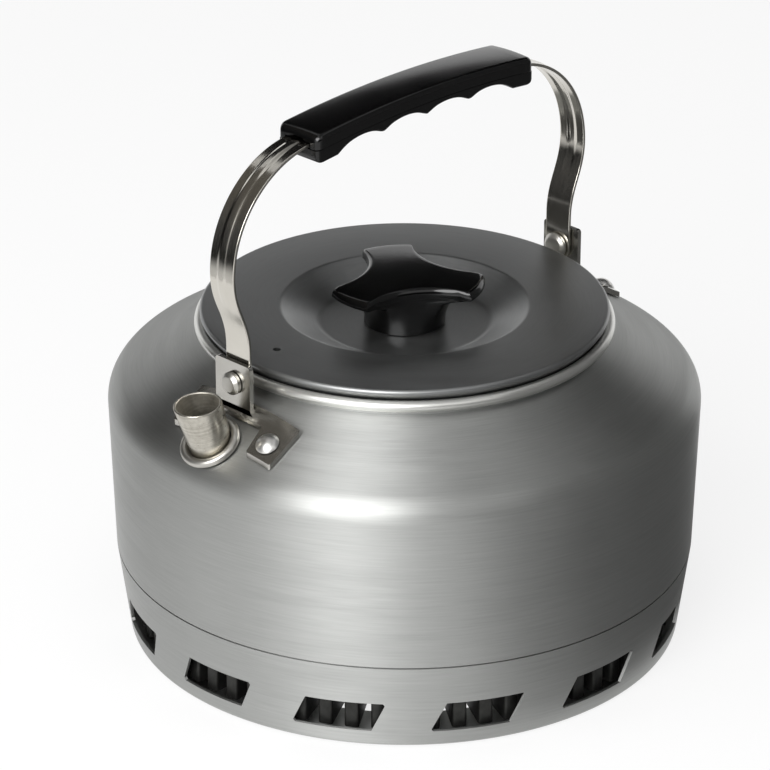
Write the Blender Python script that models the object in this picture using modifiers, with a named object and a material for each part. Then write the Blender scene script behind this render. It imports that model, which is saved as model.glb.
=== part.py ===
# Camping kettle with a heat-exchanger base, a swinging bail and a lift-off lid.
# Metres, +Z up. The origin is on the kettle's axis at table level, the spout is
# towards -Y, and the bail's hinge axis runs along Y over the middle of the body.

import math

import bmesh
import bpy
from mathutils import Matrix, Vector

# Clearances and round-off
GAP = 0.0003                    # seat clearance between neighbouring pieces
MERGE = 0.00001                 # merge distance of turned and mirrored shapes

# Vessel: spun from sheet, with a rolled bead round its mouth
BODY_R = 0.0909                 # widest radius, at the sharp corner of the shoulder
BODY_FOOT_R = 0.0894            # wall radius at the seam above the skirt
BODY_WALL = 0.0012
SEAM_Z = 0.0284                 # ledge where the skirt's upper edge ends
FLOOR_Z = 0.0175                # underside of the vessel's floor
FLOOR_CORNER_R = 0.0055
MOUTH_R = 0.0605                # clear radius of the mouth
BEAD_R = 0.00175                # radius of the rolled bead
BEAD_Z = 0.1001                 # height of the bead's centre
SHOULDER_ANGLE = math.radians(30.3)
SHOULDER_CORNER_R = 0.0090
NECK_DROP = 0.0024              # from the bead's centre down to the top of the shoulder
NECK_R = MOUTH_R + BEAD_R
NECK_Z = BEAD_Z - NECK_DROP
BODY_STEPS = 56

# Skirt: tapered ring pressed over the stepped foot of the vessel
SKIRT_TAPER = 0.0037            # foot of the skirt inside the vessel's foot
SKIRT_FOOT_R = BODY_FOOT_R - SKIRT_TAPER
SKIRT_WALL = 0.0010
SKIRT_FOOT_CORNER_R = 0.0015
SKIRT_FLANGE_WIDTH = 0.0182     # foot flange, from the skirt's foot inwards
SKIRT_STEPS = 65
WINDOW_COUNT = 13
WINDOW_WIDTH = 0.0246
WINDOW_LOW_Z = 0.0052
WINDOW_HIGH_Z = 0.0155
WINDOW_LEAN = 0.0046            # how far the upper edge is shifted along the ring
WINDOW_CORNER_R = 0.0008
WINDOW_PHASE = math.radians(3.35)   # middle of the first window, from -Y towards +X

# Heat exchanger: sheet folded to a square wave and brazed under the floor
FIN_COUNT = 65
FIN_SHEET = 0.0008
FIN_CLEARANCE = 0.0027          # between the folds and the skirt's foot radius
FIN_DEPTH = 0.0190
FIN_OUTER_R = SKIRT_FOOT_R - FIN_CLEARANCE
FIN_INNER_R = FIN_OUTER_R - FIN_DEPTH
FIN_OUTER_SHARE = 0.48          # share of each fold that is closed at the outside
FIN_LOW_Z = 0.0044

# Spout: short tube that leans out of the shoulder, in line with the bail
SPOUT_FOOT_R = MOUTH_R + 0.0210     # distance of its foot from the kettle's axis
SPOUT_LEAN = math.radians(19.2)
SPOUT_MOUTH_TILT = math.radians(8.0)
SPOUT_LENGTH = 0.0152
SPOUT_MOUTH_OUT_R = 0.0071
SPOUT_FOOT_OUT_R = 0.0064
SPOUT_WALL = 0.0008
SPOUT_LIP = 0.0009              # width of the lip that is rolled out under the shoulder
SPOUT_STEPS = 24
COLLAR_OUT_R = 0.0094
COLLAR_HEIGHT = 0.0020

# Bail brackets: folded plates on the shoulder, one ear and two tabs each. One tab is
# shorter, so that the front bracket clears the spout; both brackets are the same part.
EAR_OUT_Y = MOUTH_R + 0.0114    # outer face of the ear, from the kettle's axis
EAR_THICKNESS = 0.0015
EAR_WIDTH = 0.0143
EAR_CORNER_R = 0.0018
EAR_RISE = 0.0066               # ear above the hinge axis
TAB_INNER_Y = EAR_OUT_Y - 0.0037
TAB_OUTER_Y = EAR_OUT_Y + 0.0085
LONG_TAB_X = (0.0122, 0.0235)
SHORT_TAB_X = (0.0100, 0.0174)
NOTCH_FLARE = 0.0013            # how far the tabs' inner edges lean apart
LONG_RIVET_X = 0.0180
SHORT_RIVET_X = 0.0137
TAB_RIVET_Y = EAR_OUT_Y + 0.0033
RIVET_SHANK_R = 0.0015
RIVET_HEAD_R = 0.0034
RIVET_HEAD_H = 0.0019
RIVET_TAIL_R = 0.0026
RIVET_TAIL_H = 0.0010

# Hinge of the bail
HINGE_Z = 0.1028
PIN_R = 0.0019
PIN_OUT_HEAD_R = 0.0035
PIN_OUT_HEAD_H = 0.0021
PIN_IN_HEAD_R = 0.0042
PIN_IN_HEAD_H = 0.0019
PIN_STEPS = 20

# Bail strip: flat bar with a pressed rib, bent to a bow
STRIP_WIDTH = 0.0098
STRIP_THICKNESS = 0.0010
RIB_WIDTH = 0.0046
RIB_HEIGHT = 0.0009
RIB_END_Z = 0.1262              # where the rib runs out
RIB_RUN = 0.0030
LEG_STRAIGHT_Z = 0.1130         # top of the straight part of each leg
BOW_WIDE_Y = EAR_OUT_Y + 0.0036     # widest point of the bow
BOW_WIDE_Z = 0.1375
CROWN_Z = 0.1730                # middle of the strip at the top of the bow
CROWN_HALF_LENGTH = 0.0452      # half of the nearly level run under the grip
CROWN_DROP = 0.0024             # fall of the strip over that half

# Grip: moulded cover and finger-shaped base, clamped on the strip
GRIP_HALF_LENGTH = 0.0462
GRIP_SHIFT = 0.0014             # grip's middle, from the bow's middle towards the rear
GRIP_WIDTH = 0.0170
GRIP_COVER_H = 0.0036           # cover above the middle of the strip
GRIP_CROWN = 0.0003             # rounding of the cover's top
GRIP_EDGE_R = 0.0028
SCALLOP_COUNT = 4
SCALLOP_PITCH = 0.0184
SCALLOP_DEPTH = 0.0024
CUSP_DEPTH = 0.0050             # cusps below the middle of the strip
LOBE_DEPTH = 0.0054             # end lobes below the middle of the strip
GRIP_SCREW_Y = 0.0418           # from the grip's middle
GRIP_SCREW_R = 0.0012
GRIP_SCREW_HEAD_R = 0.0024
GRIP_SCREW_HEAD_H = 0.0013

# Lid: spun disc with a dished middle, a hemmed rim and a plug skirt
LID_R = MOUTH_R + 0.0018
LID_TOP_Z = 0.1051
LID_WALL = 0.0010
LID_EDGE_R = 0.0011
LID_HEM_UNDERCUT = 0.0011
DISH_R = 0.0378
DISH_FLOOR_R = 0.0262
DISH_DEPTH = 0.0057
DISH_LIP_R = 0.0022
DISH_CORNER_R = 0.0050
PLUG_CLEARANCE = 0.0005
PLUG_DEPTH = 0.0072             # plug skirt below the hem
VENT_R = 0.0012
VENT_X = -0.0038
VENT_Y = -0.0505
LID_STEPS = 48

# Knob: three lobes on a pedestal that stands in the dish
KNOB_TIP_R = 0.0243
KNOB_TIP_HALF_WIDTH = 0.0081
KNOB_WAIST_R = 0.0127
KNOB_HEIGHT = 0.0159            # from the dish floor to the top of the middle
KNOB_DOME = 0.0009              # tips below the middle
KNOB_PLATE = 0.0030             # thickness of the lobes
KNOB_EDGE_R = 0.0020            # rolled upper edge
KNOB_TURN = math.radians(-2.0)  # first lobe, from -Y towards +X
KNOB_FOOT_R = 0.0124
KNOB_STEM_TOP_R = 0.0162
KNOB_SCREW_R = 0.0014
KNOB_SCREW_LENGTH = 0.0090
KNOB_SCREW_HEAD_R = 0.0032
KNOB_SCREW_HEAD_H = 0.0018
KNOB_WASHER_R = 0.0050
KNOB_WASHER_T = 0.0008

# Heights that follow from the sizes above
LID_SEAT_Z = BEAD_Z + BEAD_R + GAP
DISH_FLOOR_Z = LID_TOP_Z - DISH_DEPTH
STRIP_Y = EAR_OUT_Y - EAR_THICKNESS - GAP - STRIP_THICKNESS / 2


def shoulder_z(radius):
    """Height of the shoulder's outer cone at a distance from the axis."""
    return NECK_Z - math.tan(SHOULDER_ANGLE) * (radius - NECK_R)


def skirt_radius(height):
    """Outer radius of the tapered skirt."""
    return SKIRT_FOOT_R + (BODY_FOOT_R - SKIRT_FOOT_R) * height / SEAM_Z


def crown_z(y):
    """Height of the strip's middle inside the grip."""
    return CROWN_Z - CROWN_DROP * (y / CROWN_HALF_LENGTH) ** 2


# Shape helpers

def arc(centre, radius, start, end, segments):
    """Points on an arc, with its angles in degrees."""
    points = []
    for i in range(segments + 1):
        turn = math.radians(start + (end - start) * i / segments)
        points.append((centre[0] + radius * math.cos(turn), centre[1] + radius * math.sin(turn)))
    return points


def fillet(before, corner, after, radius, segments):
    """Points of the arc that rounds a corner of an outline."""
    corner = Vector(corner)
    to_before = (Vector(before) - corner).normalized()
    to_after = (Vector(after) - corner).normalized()
    half = to_before.angle(to_after) / 2
    centre = corner + (to_before + to_after).normalized() * radius / math.sin(half)
    first = corner + to_before * radius / math.tan(half) - centre
    last = corner + to_after * radius / math.tan(half) - centre
    sweep = first.angle_signed(last)
    points = []
    for i in range(segments + 1):
        turn = Matrix.Rotation(-sweep * i / segments, 2)
        points.append(tuple(centre + turn @ first))
    return points


def inset(points, distance):
    """An open outline moved to its right-hand side by a distance, with mitred corners."""
    sides = []
    for start, end in zip(points, points[1:]):
        run = (Vector(end) - Vector(start)).normalized()
        sides.append(Vector((run.y, -run.x)))
    moved = []
    for i, point in enumerate(points):
        left = sides[max(i - 1, 0)]
        right = sides[min(i, len(sides) - 1)]
        mitre = (left + right) / (1 + left.dot(right))
        moved.append(tuple(Vector(point) + mitre * distance))
    return moved


def bezier(start, start_handle, end_handle, end, segments):
    """Points on one cubic curve, its first point left out."""
    points = []
    for i in range(1, segments + 1):
        t = i / segments
        weights = ((1 - t) ** 3, 3 * t * (1 - t) ** 2, 3 * t ** 2 * (1 - t), t ** 3)
        knots = (start, start_handle, end_handle, end)
        points.append(tuple(sum(w * k[axis] for w, k in zip(weights, knots)) for axis in (0, 1)))
    return points


# Scene and objects

for old in list(bpy.data.objects):
    bpy.data.objects.remove(old, do_unlink=True)

kettle = bpy.data.collections.new("camping_kettle")
cutters = bpy.data.collections.new("cutters")
bpy.context.scene.collection.children.link(kettle)
bpy.context.scene.collection.children.link(cutters)


def finish(name, colour, roughness, metallic):
    """A Principled material in one plain colour."""
    material = bpy.data.materials.new(name)
    material.use_nodes = True
    shader = material.node_tree.nodes["Principled BSDF"]
    shader.inputs["Base Color"].default_value = (*colour, 1.0)
    shader.inputs["Roughness"].default_value = roughness
    shader.inputs["Metallic"].default_value = metallic
    return material


ANODISED = finish("anodised_aluminium", (0.40, 0.41, 0.39), 0.45, 0.9)
ANODISED_LID = finish("anodised_lid", (0.09, 0.09, 0.09), 0.45, 0.8)
FIN_METAL = finish("raw_fin_aluminium", (0.16, 0.16, 0.16), 0.5, 0.9)
STEEL = finish("stainless_steel", (0.62, 0.60, 0.56), 0.25, 1.0)
BLACK_PLASTIC = finish("black_plastic", (0.01, 0.01, 0.01), 0.15, 0.0)
ZINC_STEEL = finish("zinc_plated_steel", (0.50, 0.50, 0.50), 0.35, 1.0)


def add_object(name, mesh, material, collection=kettle):
    """Link a mesh as a new object with its material and smooth round faces."""
    obj = bpy.data.objects.new(name, mesh)
    collection.objects.link(obj)
    if material is not None and not mesh.materials:
        mesh.materials.append(material)
    mesh.shade_smooth()
    mesh.set_sharp_from_angle(angle=math.radians(35))
    return obj


def mesh_from(name, build):
    """A mesh filled by a function that takes a bmesh."""
    mesh = bpy.data.meshes.new(name)
    bm = bmesh.new()
    build(bm)
    bmesh.ops.recalc_face_normals(bm, faces=bm.faces)
    bm.to_mesh(mesh)
    bm.free()
    return mesh


def turned_mesh(name, outline, steps):
    """A profile of (radius, height) points turned about Z by a Screw modifier."""
    profile = bpy.data.meshes.new(name + "_profile")
    edges = [(i, i + 1) for i in range(len(outline) - 1)]
    profile.from_pydata([(r, 0.0, z) for r, z in outline], edges, [])
    carrier = bpy.data.objects.new(name + "_profile", profile)
    kettle.objects.link(carrier)
    screw = carrier.modifiers.new("Turn", "SCREW")
    screw.steps = screw.render_steps = steps
    screw.use_merge_vertices = True
    screw.merge_threshold = MERGE
    bpy.context.view_layer.update()
    evaluated = carrier.evaluated_get(bpy.context.evaluated_depsgraph_get())
    mesh = bpy.data.meshes.new_from_object(evaluated)
    mesh.name = name
    bpy.data.objects.remove(carrier)
    bm = bmesh.new()
    bm.from_mesh(mesh)
    bmesh.ops.remove_doubles(bm, verts=bm.verts, dist=MERGE)
    bmesh.ops.recalc_face_normals(bm, faces=bm.faces)
    bm.to_mesh(mesh)
    bm.free()
    return mesh


def ring(outline):
    """Close an outline so that it turns into a ring."""
    return outline + [outline[0]]


def loft_mesh(name, sections):
    """Skin between closed sections that have the same number of points."""
    def build(bm):
        rows = [[bm.verts.new(point) for point in section] for section in sections]
        count = len(rows[0])
        for lower, upper in zip(rows, rows[1:]):
            for i in range(count):
                j = (i + 1) % count
                bm.faces.new((lower[i], lower[j], upper[j], upper[i]))
        bm.faces.new(rows[0][::-1])
        bm.faces.new(rows[-1])
    return mesh_from(name, build)


def cylinder_cutter(name, radius, length, place, steps=16):
    """A cylinder about the Z axis of its matrix, used only for cutting."""
    def build(bm):
        bmesh.ops.create_cone(bm, cap_ends=True, segments=steps, radius1=radius,
                              radius2=radius, depth=length, matrix=place)
    return cutter(name, mesh_from(name, build))


def cutter(name, mesh):
    """Keep a cutting shape out of sight, in its own collection."""
    obj = add_object(name, mesh, None, cutters)
    obj.hide_render = True
    obj.display_type = "WIRE"
    return obj


def cut(obj, tool, operation="DIFFERENCE"):
    """Cut one object with another."""
    boolean = obj.modifiers.new(tool.name, "BOOLEAN")
    boolean.operation = operation
    boolean.solver = "EXACT"
    boolean.object = tool


def empty_at(name, place):
    """A joint's reference point."""
    obj = bpy.data.objects.new(name, None)
    obj.empty_display_size = 0.01
    obj.location = place
    kettle.objects.link(obj)
    return obj


def carry(parent, pieces):
    """Parent pieces to an empty without moving them."""
    bpy.context.view_layer.update()
    for piece in pieces:
        piece.parent = parent
        piece.matrix_parent_inverse = parent.matrix_world.inverted()


def on_shoulder(x, y, lift=0.0):
    """Frame on the shoulder's cone, with Z along its outward normal."""
    radius = math.hypot(x, y)
    azimuth = math.atan2(y, x)
    spot = Matrix.Translation((x, y, shoulder_z(radius)))
    turn = Matrix.Rotation(azimuth, 4, "Z") @ Matrix.Rotation(SHOULDER_ANGLE, 4, "Y")
    return spot @ turn @ Matrix.Translation((0.0, 0.0, lift))


# Vessel

def vessel_outline():
    """Outline of the vessel, from the middle of its floor, up inside and down outside."""
    lap_r = skirt_radius(SEAM_Z) - SKIRT_WALL - GAP
    taper = (BODY_FOOT_R - SKIRT_FOOT_R) / SEAM_Z
    foot_r = lap_r - taper * (SEAM_Z - FLOOR_Z)
    shoulder = (BODY_R, shoulder_z(BODY_R))
    seam = (BODY_FOOT_R, SEAM_Z)
    lap = (lap_r, SEAM_Z)
    foot = (foot_r, FLOOR_Z)
    neck = (MOUTH_R, shoulder_z(MOUTH_R))
    outer = [neck] + fillet(neck, shoulder, seam, SHOULDER_CORNER_R, 3) + [seam, lap]
    outer += fillet(lap, foot, (0.0, FLOOR_Z), FLOOR_CORNER_R, 2) + [(0.0, FLOOR_Z)]
    inner = inset(outer, BODY_WALL)
    inner[0] = (MOUTH_R, shoulder_z(MOUTH_R) - BODY_WALL / math.cos(SHOULDER_ANGLE))
    inner[-1] = (0.0, FLOOR_Z + BODY_WALL)
    bead = arc((MOUTH_R + BEAD_R, BEAD_Z), BEAD_R, 180, -90, 7)
    return inner[::-1] + bead + [(NECK_R, shoulder_z(NECK_R))] + outer[1:]


def spout_frame():
    """Frame at the spout's foot, with Z along its axis."""
    foot = (0.0, -SPOUT_FOOT_R, shoulder_z(SPOUT_FOOT_R))
    return Matrix.Translation(foot) @ Matrix.Rotation(SPOUT_LEAN, 4, "X")


body = add_object("kettle_body", turned_mesh("kettle_body", vessel_outline(), BODY_STEPS), ANODISED)
cut(body, cylinder_cutter("spout_hole", SPOUT_FOOT_OUT_R + GAP, SPOUT_LENGTH, spout_frame(), SPOUT_STEPS))

RIVET_SPOTS = {
    "front_left": (-SHORT_RIVET_X, -TAB_RIVET_Y),
    "front_right": (LONG_RIVET_X, -TAB_RIVET_Y),
    "rear_left": (-LONG_RIVET_X, TAB_RIVET_Y),
    "rear_right": (SHORT_RIVET_X, TAB_RIVET_Y),
}
for side, (x, y) in RIVET_SPOTS.items():
    hole = cylinder_cutter("rivet_hole_" + side, RIVET_SHANK_R + GAP, 0.010, on_shoulder(x, y), 10)
    cut(body, hole)


# Skirt with its windows

def skirt_outline():
    """Closed outline of the skirt's wall and foot flange."""
    top = SEAM_Z - GAP
    foot = (SKIRT_FOOT_R, 0.0)
    outer = [(skirt_radius(top), top)]
    flange = (SKIRT_FOOT_R - SKIRT_FLANGE_WIDTH, 0.0)
    outer += fillet(outer[0], foot, flange, SKIRT_FOOT_CORNER_R, 3)
    outer += [flange]
    inner = inset(outer, SKIRT_WALL)
    inner[0] = (skirt_radius(top) - SKIRT_WALL, top)
    return ring(outer + inner[::-1])


def window_outline():
    """Leaning window, as seen from outside."""
    half = WINDOW_WIDTH / 2
    lean = WINDOW_LEAN / 2
    corners = [(-half - lean, WINDOW_LOW_Z), (half - lean, WINDOW_LOW_Z),
               (half + lean, WINDOW_HIGH_Z), (-half + lean, WINDOW_HIGH_Z)]
    points = []
    for i, corner in enumerate(corners):
        points += fillet(corners[i - 1], corner, corners[(i + 1) % 4], WINDOW_CORNER_R, 1)
    return points


def window_punches(bm):
    """One leaning prism through the wall for each window."""
    outline = window_outline()
    inside = SKIRT_FOOT_R - 0.008
    outside = BODY_FOOT_R + 0.008
    for i in range(WINDOW_COUNT):
        azimuth = WINDOW_PHASE + math.tau * i / WINDOW_COUNT
        turn = Matrix.Rotation(azimuth, 3, "Z")
        near = [bm.verts.new(turn @ Vector((x, -outside, z))) for x, z in outline]
        far = [bm.verts.new(turn @ Vector((x, -inside, z))) for x, z in outline]
        count = len(outline)
        for j in range(count):
            k = (j + 1) % count
            bm.faces.new((near[j], near[k], far[k], far[j]))
        bm.faces.new(near[::-1])
        bm.faces.new(far)


skirt = add_object("skirt_ring", turned_mesh("skirt_ring", skirt_outline(), SKIRT_STEPS), ANODISED)
cut(skirt, cutter("window_punches", mesh_from("window_punches", window_punches)))


# Heat exchanger

def exchanger(bm):
    """Sheet that runs out and in again once for every fold, as one closed ring."""
    top = FLOOR_Z - GAP
    pitch = math.tau / FIN_COUNT
    loops = {}
    for side in (1, -1):
        grow = side * FIN_SHEET / 2
        path = []
        for i in range(FIN_COUNT):
            for turn in (-1, 1):
                outer = turn * (FIN_OUTER_SHARE * pitch / 2 + grow / FIN_OUTER_R)
                inner = turn * (FIN_OUTER_SHARE * pitch / 2 + grow / FIN_INNER_R)
                ends = [(FIN_INNER_R + grow, i * pitch + inner), (FIN_OUTER_R + grow, i * pitch + outer)]
                path += ends if turn < 0 else ends[::-1]
        for z in (FIN_LOW_Z, top):
            loops[side, z] = [bm.verts.new((r * math.sin(a), -r * math.cos(a), z)) for r, a in path]
    order = [(1, FIN_LOW_Z), (1, top), (-1, top), (-1, FIN_LOW_Z)]
    for k in range(4):
        lower = loops[order[k]]
        upper = loops[order[(k + 1) % 4]]
        for i in range(len(lower)):
            j = (i + 1) % len(lower)
            bm.faces.new((lower[i], lower[j], upper[j], upper[i]))


add_object("heat_exchanger_fins", mesh_from("heat_exchanger_fins", exchanger), FIN_METAL)


# Spout and its collar

def spout_mesh():
    """Turned tube whose mouth and rolled lip are then slanted to the photo's planes."""
    tail = -BODY_WALL / math.cos(SHOULDER_ANGLE - SPOUT_LEAN) - GAP * 2
    lip_out = SPOUT_FOOT_OUT_R + SPOUT_LIP
    outline = [
        (SPOUT_MOUTH_OUT_R - SPOUT_WALL, SPOUT_LENGTH),
        (SPOUT_MOUTH_OUT_R, SPOUT_LENGTH),
        (SPOUT_FOOT_OUT_R, 0.0),
        (SPOUT_FOOT_OUT_R, tail),
        (lip_out, tail),
        (lip_out, tail - SPOUT_WALL),
        (SPOUT_FOOT_OUT_R - SPOUT_WALL, tail - SPOUT_WALL),
        (SPOUT_FOOT_OUT_R - SPOUT_WALL, 0.0),
    ]
    mesh = turned_mesh("spout", ring(outline), SPOUT_STEPS)
    foot_slant = math.tan(SHOULDER_ANGLE - SPOUT_LEAN)
    mouth_slant = -math.tan(SPOUT_LEAN - SPOUT_MOUTH_TILT)
    for vertex in mesh.vertices:
        share = min(max(vertex.co.z / SPOUT_LENGTH, 0.0), 1.0)
        vertex.co.z += vertex.co.y * (foot_slant + (mouth_slant - foot_slant) * share)
    return mesh


spout = add_object("spout", spout_mesh(), STEEL)
spout.matrix_world = spout_frame()

collar_in = SPOUT_FOOT_OUT_R / math.cos(SHOULDER_ANGLE - SPOUT_LEAN) + GAP
collar_in += COLLAR_HEIGHT * math.tan(SHOULDER_ANGLE - SPOUT_LEAN)
bead_half = (COLLAR_OUT_R - collar_in) / 2
collar_outline = [(collar_in, GAP), (collar_in, COLLAR_HEIGHT - bead_half)]
collar_outline += arc((COLLAR_OUT_R - bead_half, COLLAR_HEIGHT - bead_half), bead_half, 135, 0, 3)
collar_outline += [(COLLAR_OUT_R, GAP)]
collar_mesh = turned_mesh("spout_collar", ring(collar_outline), SPOUT_STEPS)
collar = add_object("spout_collar", collar_mesh, STEEL)
collar.matrix_world = on_shoulder(0.0, -SPOUT_FOOT_R)


# Bail brackets

def bracket_mesh():
    """Base plate on the cone with two tabs, joined to the upright ear."""
    ear_half = EAR_WIDTH / 2
    columns = [-SHORT_TAB_X[1], -SHORT_TAB_X[0], 0.0, LONG_TAB_X[0], LONG_TAB_X[1]]
    flare = [0.0, -NOTCH_FLARE, 0.0, NOTCH_FLARE, 0.0]
    rows = [TAB_INNER_Y, EAR_OUT_Y, TAB_OUTER_Y]

    def base(bm):
        grid = {}
        for level in (0, 1):
            for i, column in enumerate(columns):
                for j, y in enumerate(rows):
                    x = column + (flare[i] if j == 2 else 0.0)
                    lift = GAP + level * EAR_THICKNESS
                    z = shoulder_z(math.hypot(x, y)) + lift / math.cos(SHOULDER_ANGLE)
                    grid[i, j, level] = bm.verts.new((x, -y, z))
        cells = [(i, 0) for i in range(4)] + [(0, 1), (3, 1)]
        for i, j in cells:
            loop = [(i, j), (i + 1, j), (i + 1, j + 1), (i, j + 1)]
            bm.faces.new([grid[a, b, 1] for a, b in loop])
            bm.faces.new([grid[a, b, 0] for a, b in loop[::-1]])
            for (a, b), (c, d) in zip(loop, loop[1:] + loop[:1]):
                if sum({(a, b), (c, d)} <= {(p, q), (p + 1, q), (p + 1, q + 1), (p, q + 1)}
                       for p, q in cells) == 1:
                    bm.faces.new((grid[a, b, 0], grid[c, d, 0], grid[c, d, 1], grid[a, b, 1]))
        loose = [v for v in bm.verts if not v.link_faces]
        bmesh.ops.delete(bm, geom=loose, context="VERTS")

    def ear(bm):
        foot = shoulder_z(EAR_OUT_Y) + (GAP + EAR_THICKNESS / 2) / math.cos(SHOULDER_ANGLE)
        top = HINGE_Z + EAR_RISE
        outline = [(-ear_half, foot), (ear_half, foot)]
        outline += fillet((ear_half, foot), (ear_half, top), (-ear_half, top), EAR_CORNER_R, 3)
        outline += fillet((ear_half, top), (-ear_half, top), (-ear_half, foot), EAR_CORNER_R, 3)
        near = [bm.verts.new((x, -EAR_OUT_Y, z)) for x, z in outline]
        far = [bm.verts.new((x, -EAR_OUT_Y + EAR_THICKNESS, z)) for x, z in outline]
        bm.faces.new(near)
        bm.faces.new(far[::-1])
        for i in range(len(outline)):
            j = (i + 1) % len(outline)
            bm.faces.new((near[i], near[j], far[j], far[i]))

    plate = add_object("bracket_plate", mesh_from("bracket_plate", base), STEEL)
    cut(plate, cutter("bracket_ear", mesh_from("bracket_ear", ear)), "UNION")
    hinge = Matrix.Translation((0.0, -EAR_OUT_Y, HINGE_Z)) @ Matrix.Rotation(math.pi / 2, 4, "X")
    cut(plate, cylinder_cutter("ear_hole", PIN_R + GAP, 0.010, hinge))
    for side in ("front_left", "front_right"):
        spot = on_shoulder(*RIVET_SPOTS[side])
        cut(plate, cylinder_cutter("tab_hole_" + side, RIVET_SHANK_R + GAP, 0.008, spot, 10))
    bpy.context.view_layer.update()
    evaluated = plate.evaluated_get(bpy.context.evaluated_depsgraph_get())
    mesh = bpy.data.meshes.new_from_object(evaluated)
    mesh.name = "bracket"
    bpy.data.objects.remove(plate)
    return mesh


bracket = bracket_mesh()
HALF_TURN = Matrix.Rotation(math.pi, 4, "Z")
add_object("bracket_front", bracket, STEEL)
add_object("bracket_rear", bracket, STEEL).matrix_world = HALF_TURN


# Rivets through the tabs and the shoulder

def rivet_outline():
    """Domed rivet with its tail upset under the shoulder's sheet."""
    seat = EAR_THICKNESS + 2 * GAP
    tail = -BODY_WALL - GAP
    dome_r = (RIVET_HEAD_R ** 2 + RIVET_HEAD_H ** 2) / (2 * RIVET_HEAD_H)
    edge = math.degrees(math.asin(RIVET_HEAD_R / dome_r))
    dome = arc((0.0, seat + RIVET_HEAD_H - dome_r), dome_r, 90, 90 - edge, 3)
    return dome + [
        (RIVET_SHANK_R, seat),
        (RIVET_SHANK_R, tail),
        (RIVET_TAIL_R, tail),
        (RIVET_TAIL_R * 0.8, tail - RIVET_TAIL_H),
        (0.0, tail - RIVET_TAIL_H),
    ]


tab_rivet = turned_mesh("bracket_rivet", rivet_outline(), 14)
for side, (x, y) in RIVET_SPOTS.items():
    add_object("bracket_rivet_" + side, tab_rivet, ZINC_STEEL).matrix_world = on_shoulder(x, y)


# Hinge pins of the bail

def pin_outline():
    """Pin through ear and strip, with a pan head outside and a wider one inside."""
    outer = GAP
    inner = -(EAR_THICKNESS + STRIP_THICKNESS + 2 * GAP)
    bevel = 0.0005
    return [
        (0.0, outer + PIN_OUT_HEAD_H),
        (PIN_OUT_HEAD_R - bevel, outer + PIN_OUT_HEAD_H),
        (PIN_OUT_HEAD_R, outer + PIN_OUT_HEAD_H - bevel),
        (PIN_OUT_HEAD_R, outer),
        (PIN_R, outer),
        (PIN_R, inner),
        (PIN_IN_HEAD_R, inner),
        (PIN_IN_HEAD_R, inner - PIN_IN_HEAD_H + bevel),
        (PIN_IN_HEAD_R - bevel, inner - PIN_IN_HEAD_H),
        (0.0, inner - PIN_IN_HEAD_H),
    ]


pin = turned_mesh("pivot_rivet", pin_outline(), PIN_STEPS)
front_pin = Matrix.Translation((0.0, -EAR_OUT_Y, HINGE_Z)) @ Matrix.Rotation(math.pi / 2, 4, "X")
add_object("pivot_rivet_front", pin, STEEL).matrix_world = front_pin
add_object("pivot_rivet_rear", pin, STEEL).matrix_world = HALF_TURN @ front_pin


# Bail strip

def strip_path():
    """Middle line of the strip as (y, z), from one end to the other."""
    half = STRIP_WIDTH / 2
    leg = [(STRIP_Y, HINGE_Z - half * math.sin(math.radians(a))) for a in (78, 55, 30, 0)]
    leg.append((STRIP_Y, (HINGE_Z + LEG_STRAIGHT_Z) / 2))
    start = (STRIP_Y, LEG_STRAIGHT_Z)
    wide = (BOW_WIDE_Y, BOW_WIDE_Z)
    rise = BOW_WIDE_Z - LEG_STRAIGHT_Z
    entry = (CROWN_HALF_LENGTH, crown_z(CROWN_HALF_LENGTH))
    slope = 2 * CROWN_DROP / CROWN_HALF_LENGTH
    reach = 0.56 * (BOW_WIDE_Y - CROWN_HALF_LENGTH)
    leg.append(start)
    leg += bezier(start, (STRIP_Y, LEG_STRAIGHT_Z + rise * 0.42),
                  (BOW_WIDE_Y, BOW_WIDE_Z - rise * 0.42), wide, 6)
    leg += bezier(wide, (BOW_WIDE_Y, BOW_WIDE_Z + (entry[1] - BOW_WIDE_Z) * 0.52),
                  (entry[0] + reach, entry[1] - slope * reach), entry, 9)
    steps = 5
    crown = [CROWN_HALF_LENGTH * (1 - i / steps) for i in range(1, steps)]
    half_path = leg + [(y, crown_z(y)) for y in crown]
    return half_path + [(0.0, CROWN_Z)] + [(-y, z) for y, z in reversed(half_path)]


def strip_section(y, z, outward):
    """Section of the strip at one point of its path."""
    half = STRIP_WIDTH / 2
    if z < HINGE_Z:
        half = math.sqrt(max(half ** 2 - (HINGE_Z - z) ** 2, 1e-8))
    ramp = min(max((z - RIB_END_Z) / RIB_RUN, 0.0), 1.0)
    rib = RIB_HEIGHT * ramp
    foot = RIB_WIDTH / 2 * half / (STRIP_WIDTH / 2)
    line = [(-half, 0.0), (-foot, 0.0), (-foot / 2, rib), (foot / 2, rib), (foot, 0.0), (half, 0.0)]
    thick = STRIP_THICKNESS / 2
    outer = [(x, v + thick) for x, v in line]
    inner = [(x, v - thick) for x, v in reversed(line)]
    return [(x, y + v * outward.x, z + v * outward.y) for x, v in outer + inner]


def strip_mesh():
    """Loft of the strip's sections along the bow."""
    path = strip_path()
    sections = []
    for i, (y, z) in enumerate(path):
        before = Vector(path[max(i - 1, 0)])
        after = Vector(path[min(i + 1, len(path) - 1)])
        run = (after - before).normalized()
        sections.append(strip_section(y, z, Vector((run.y, -run.x))))
    return loft_mesh("bail_strip", sections)


strip = add_object("bail_strip", strip_mesh(), STEEL)
hinge_axis = Matrix.Translation((0.0, 0.0, HINGE_Z)) @ Matrix.Rotation(math.pi / 2, 4, "X")
cut(strip, cylinder_cutter("hinge_bore", PIN_R + GAP, 2 * EAR_OUT_Y, hinge_axis, PIN_STEPS))


# Grip

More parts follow.
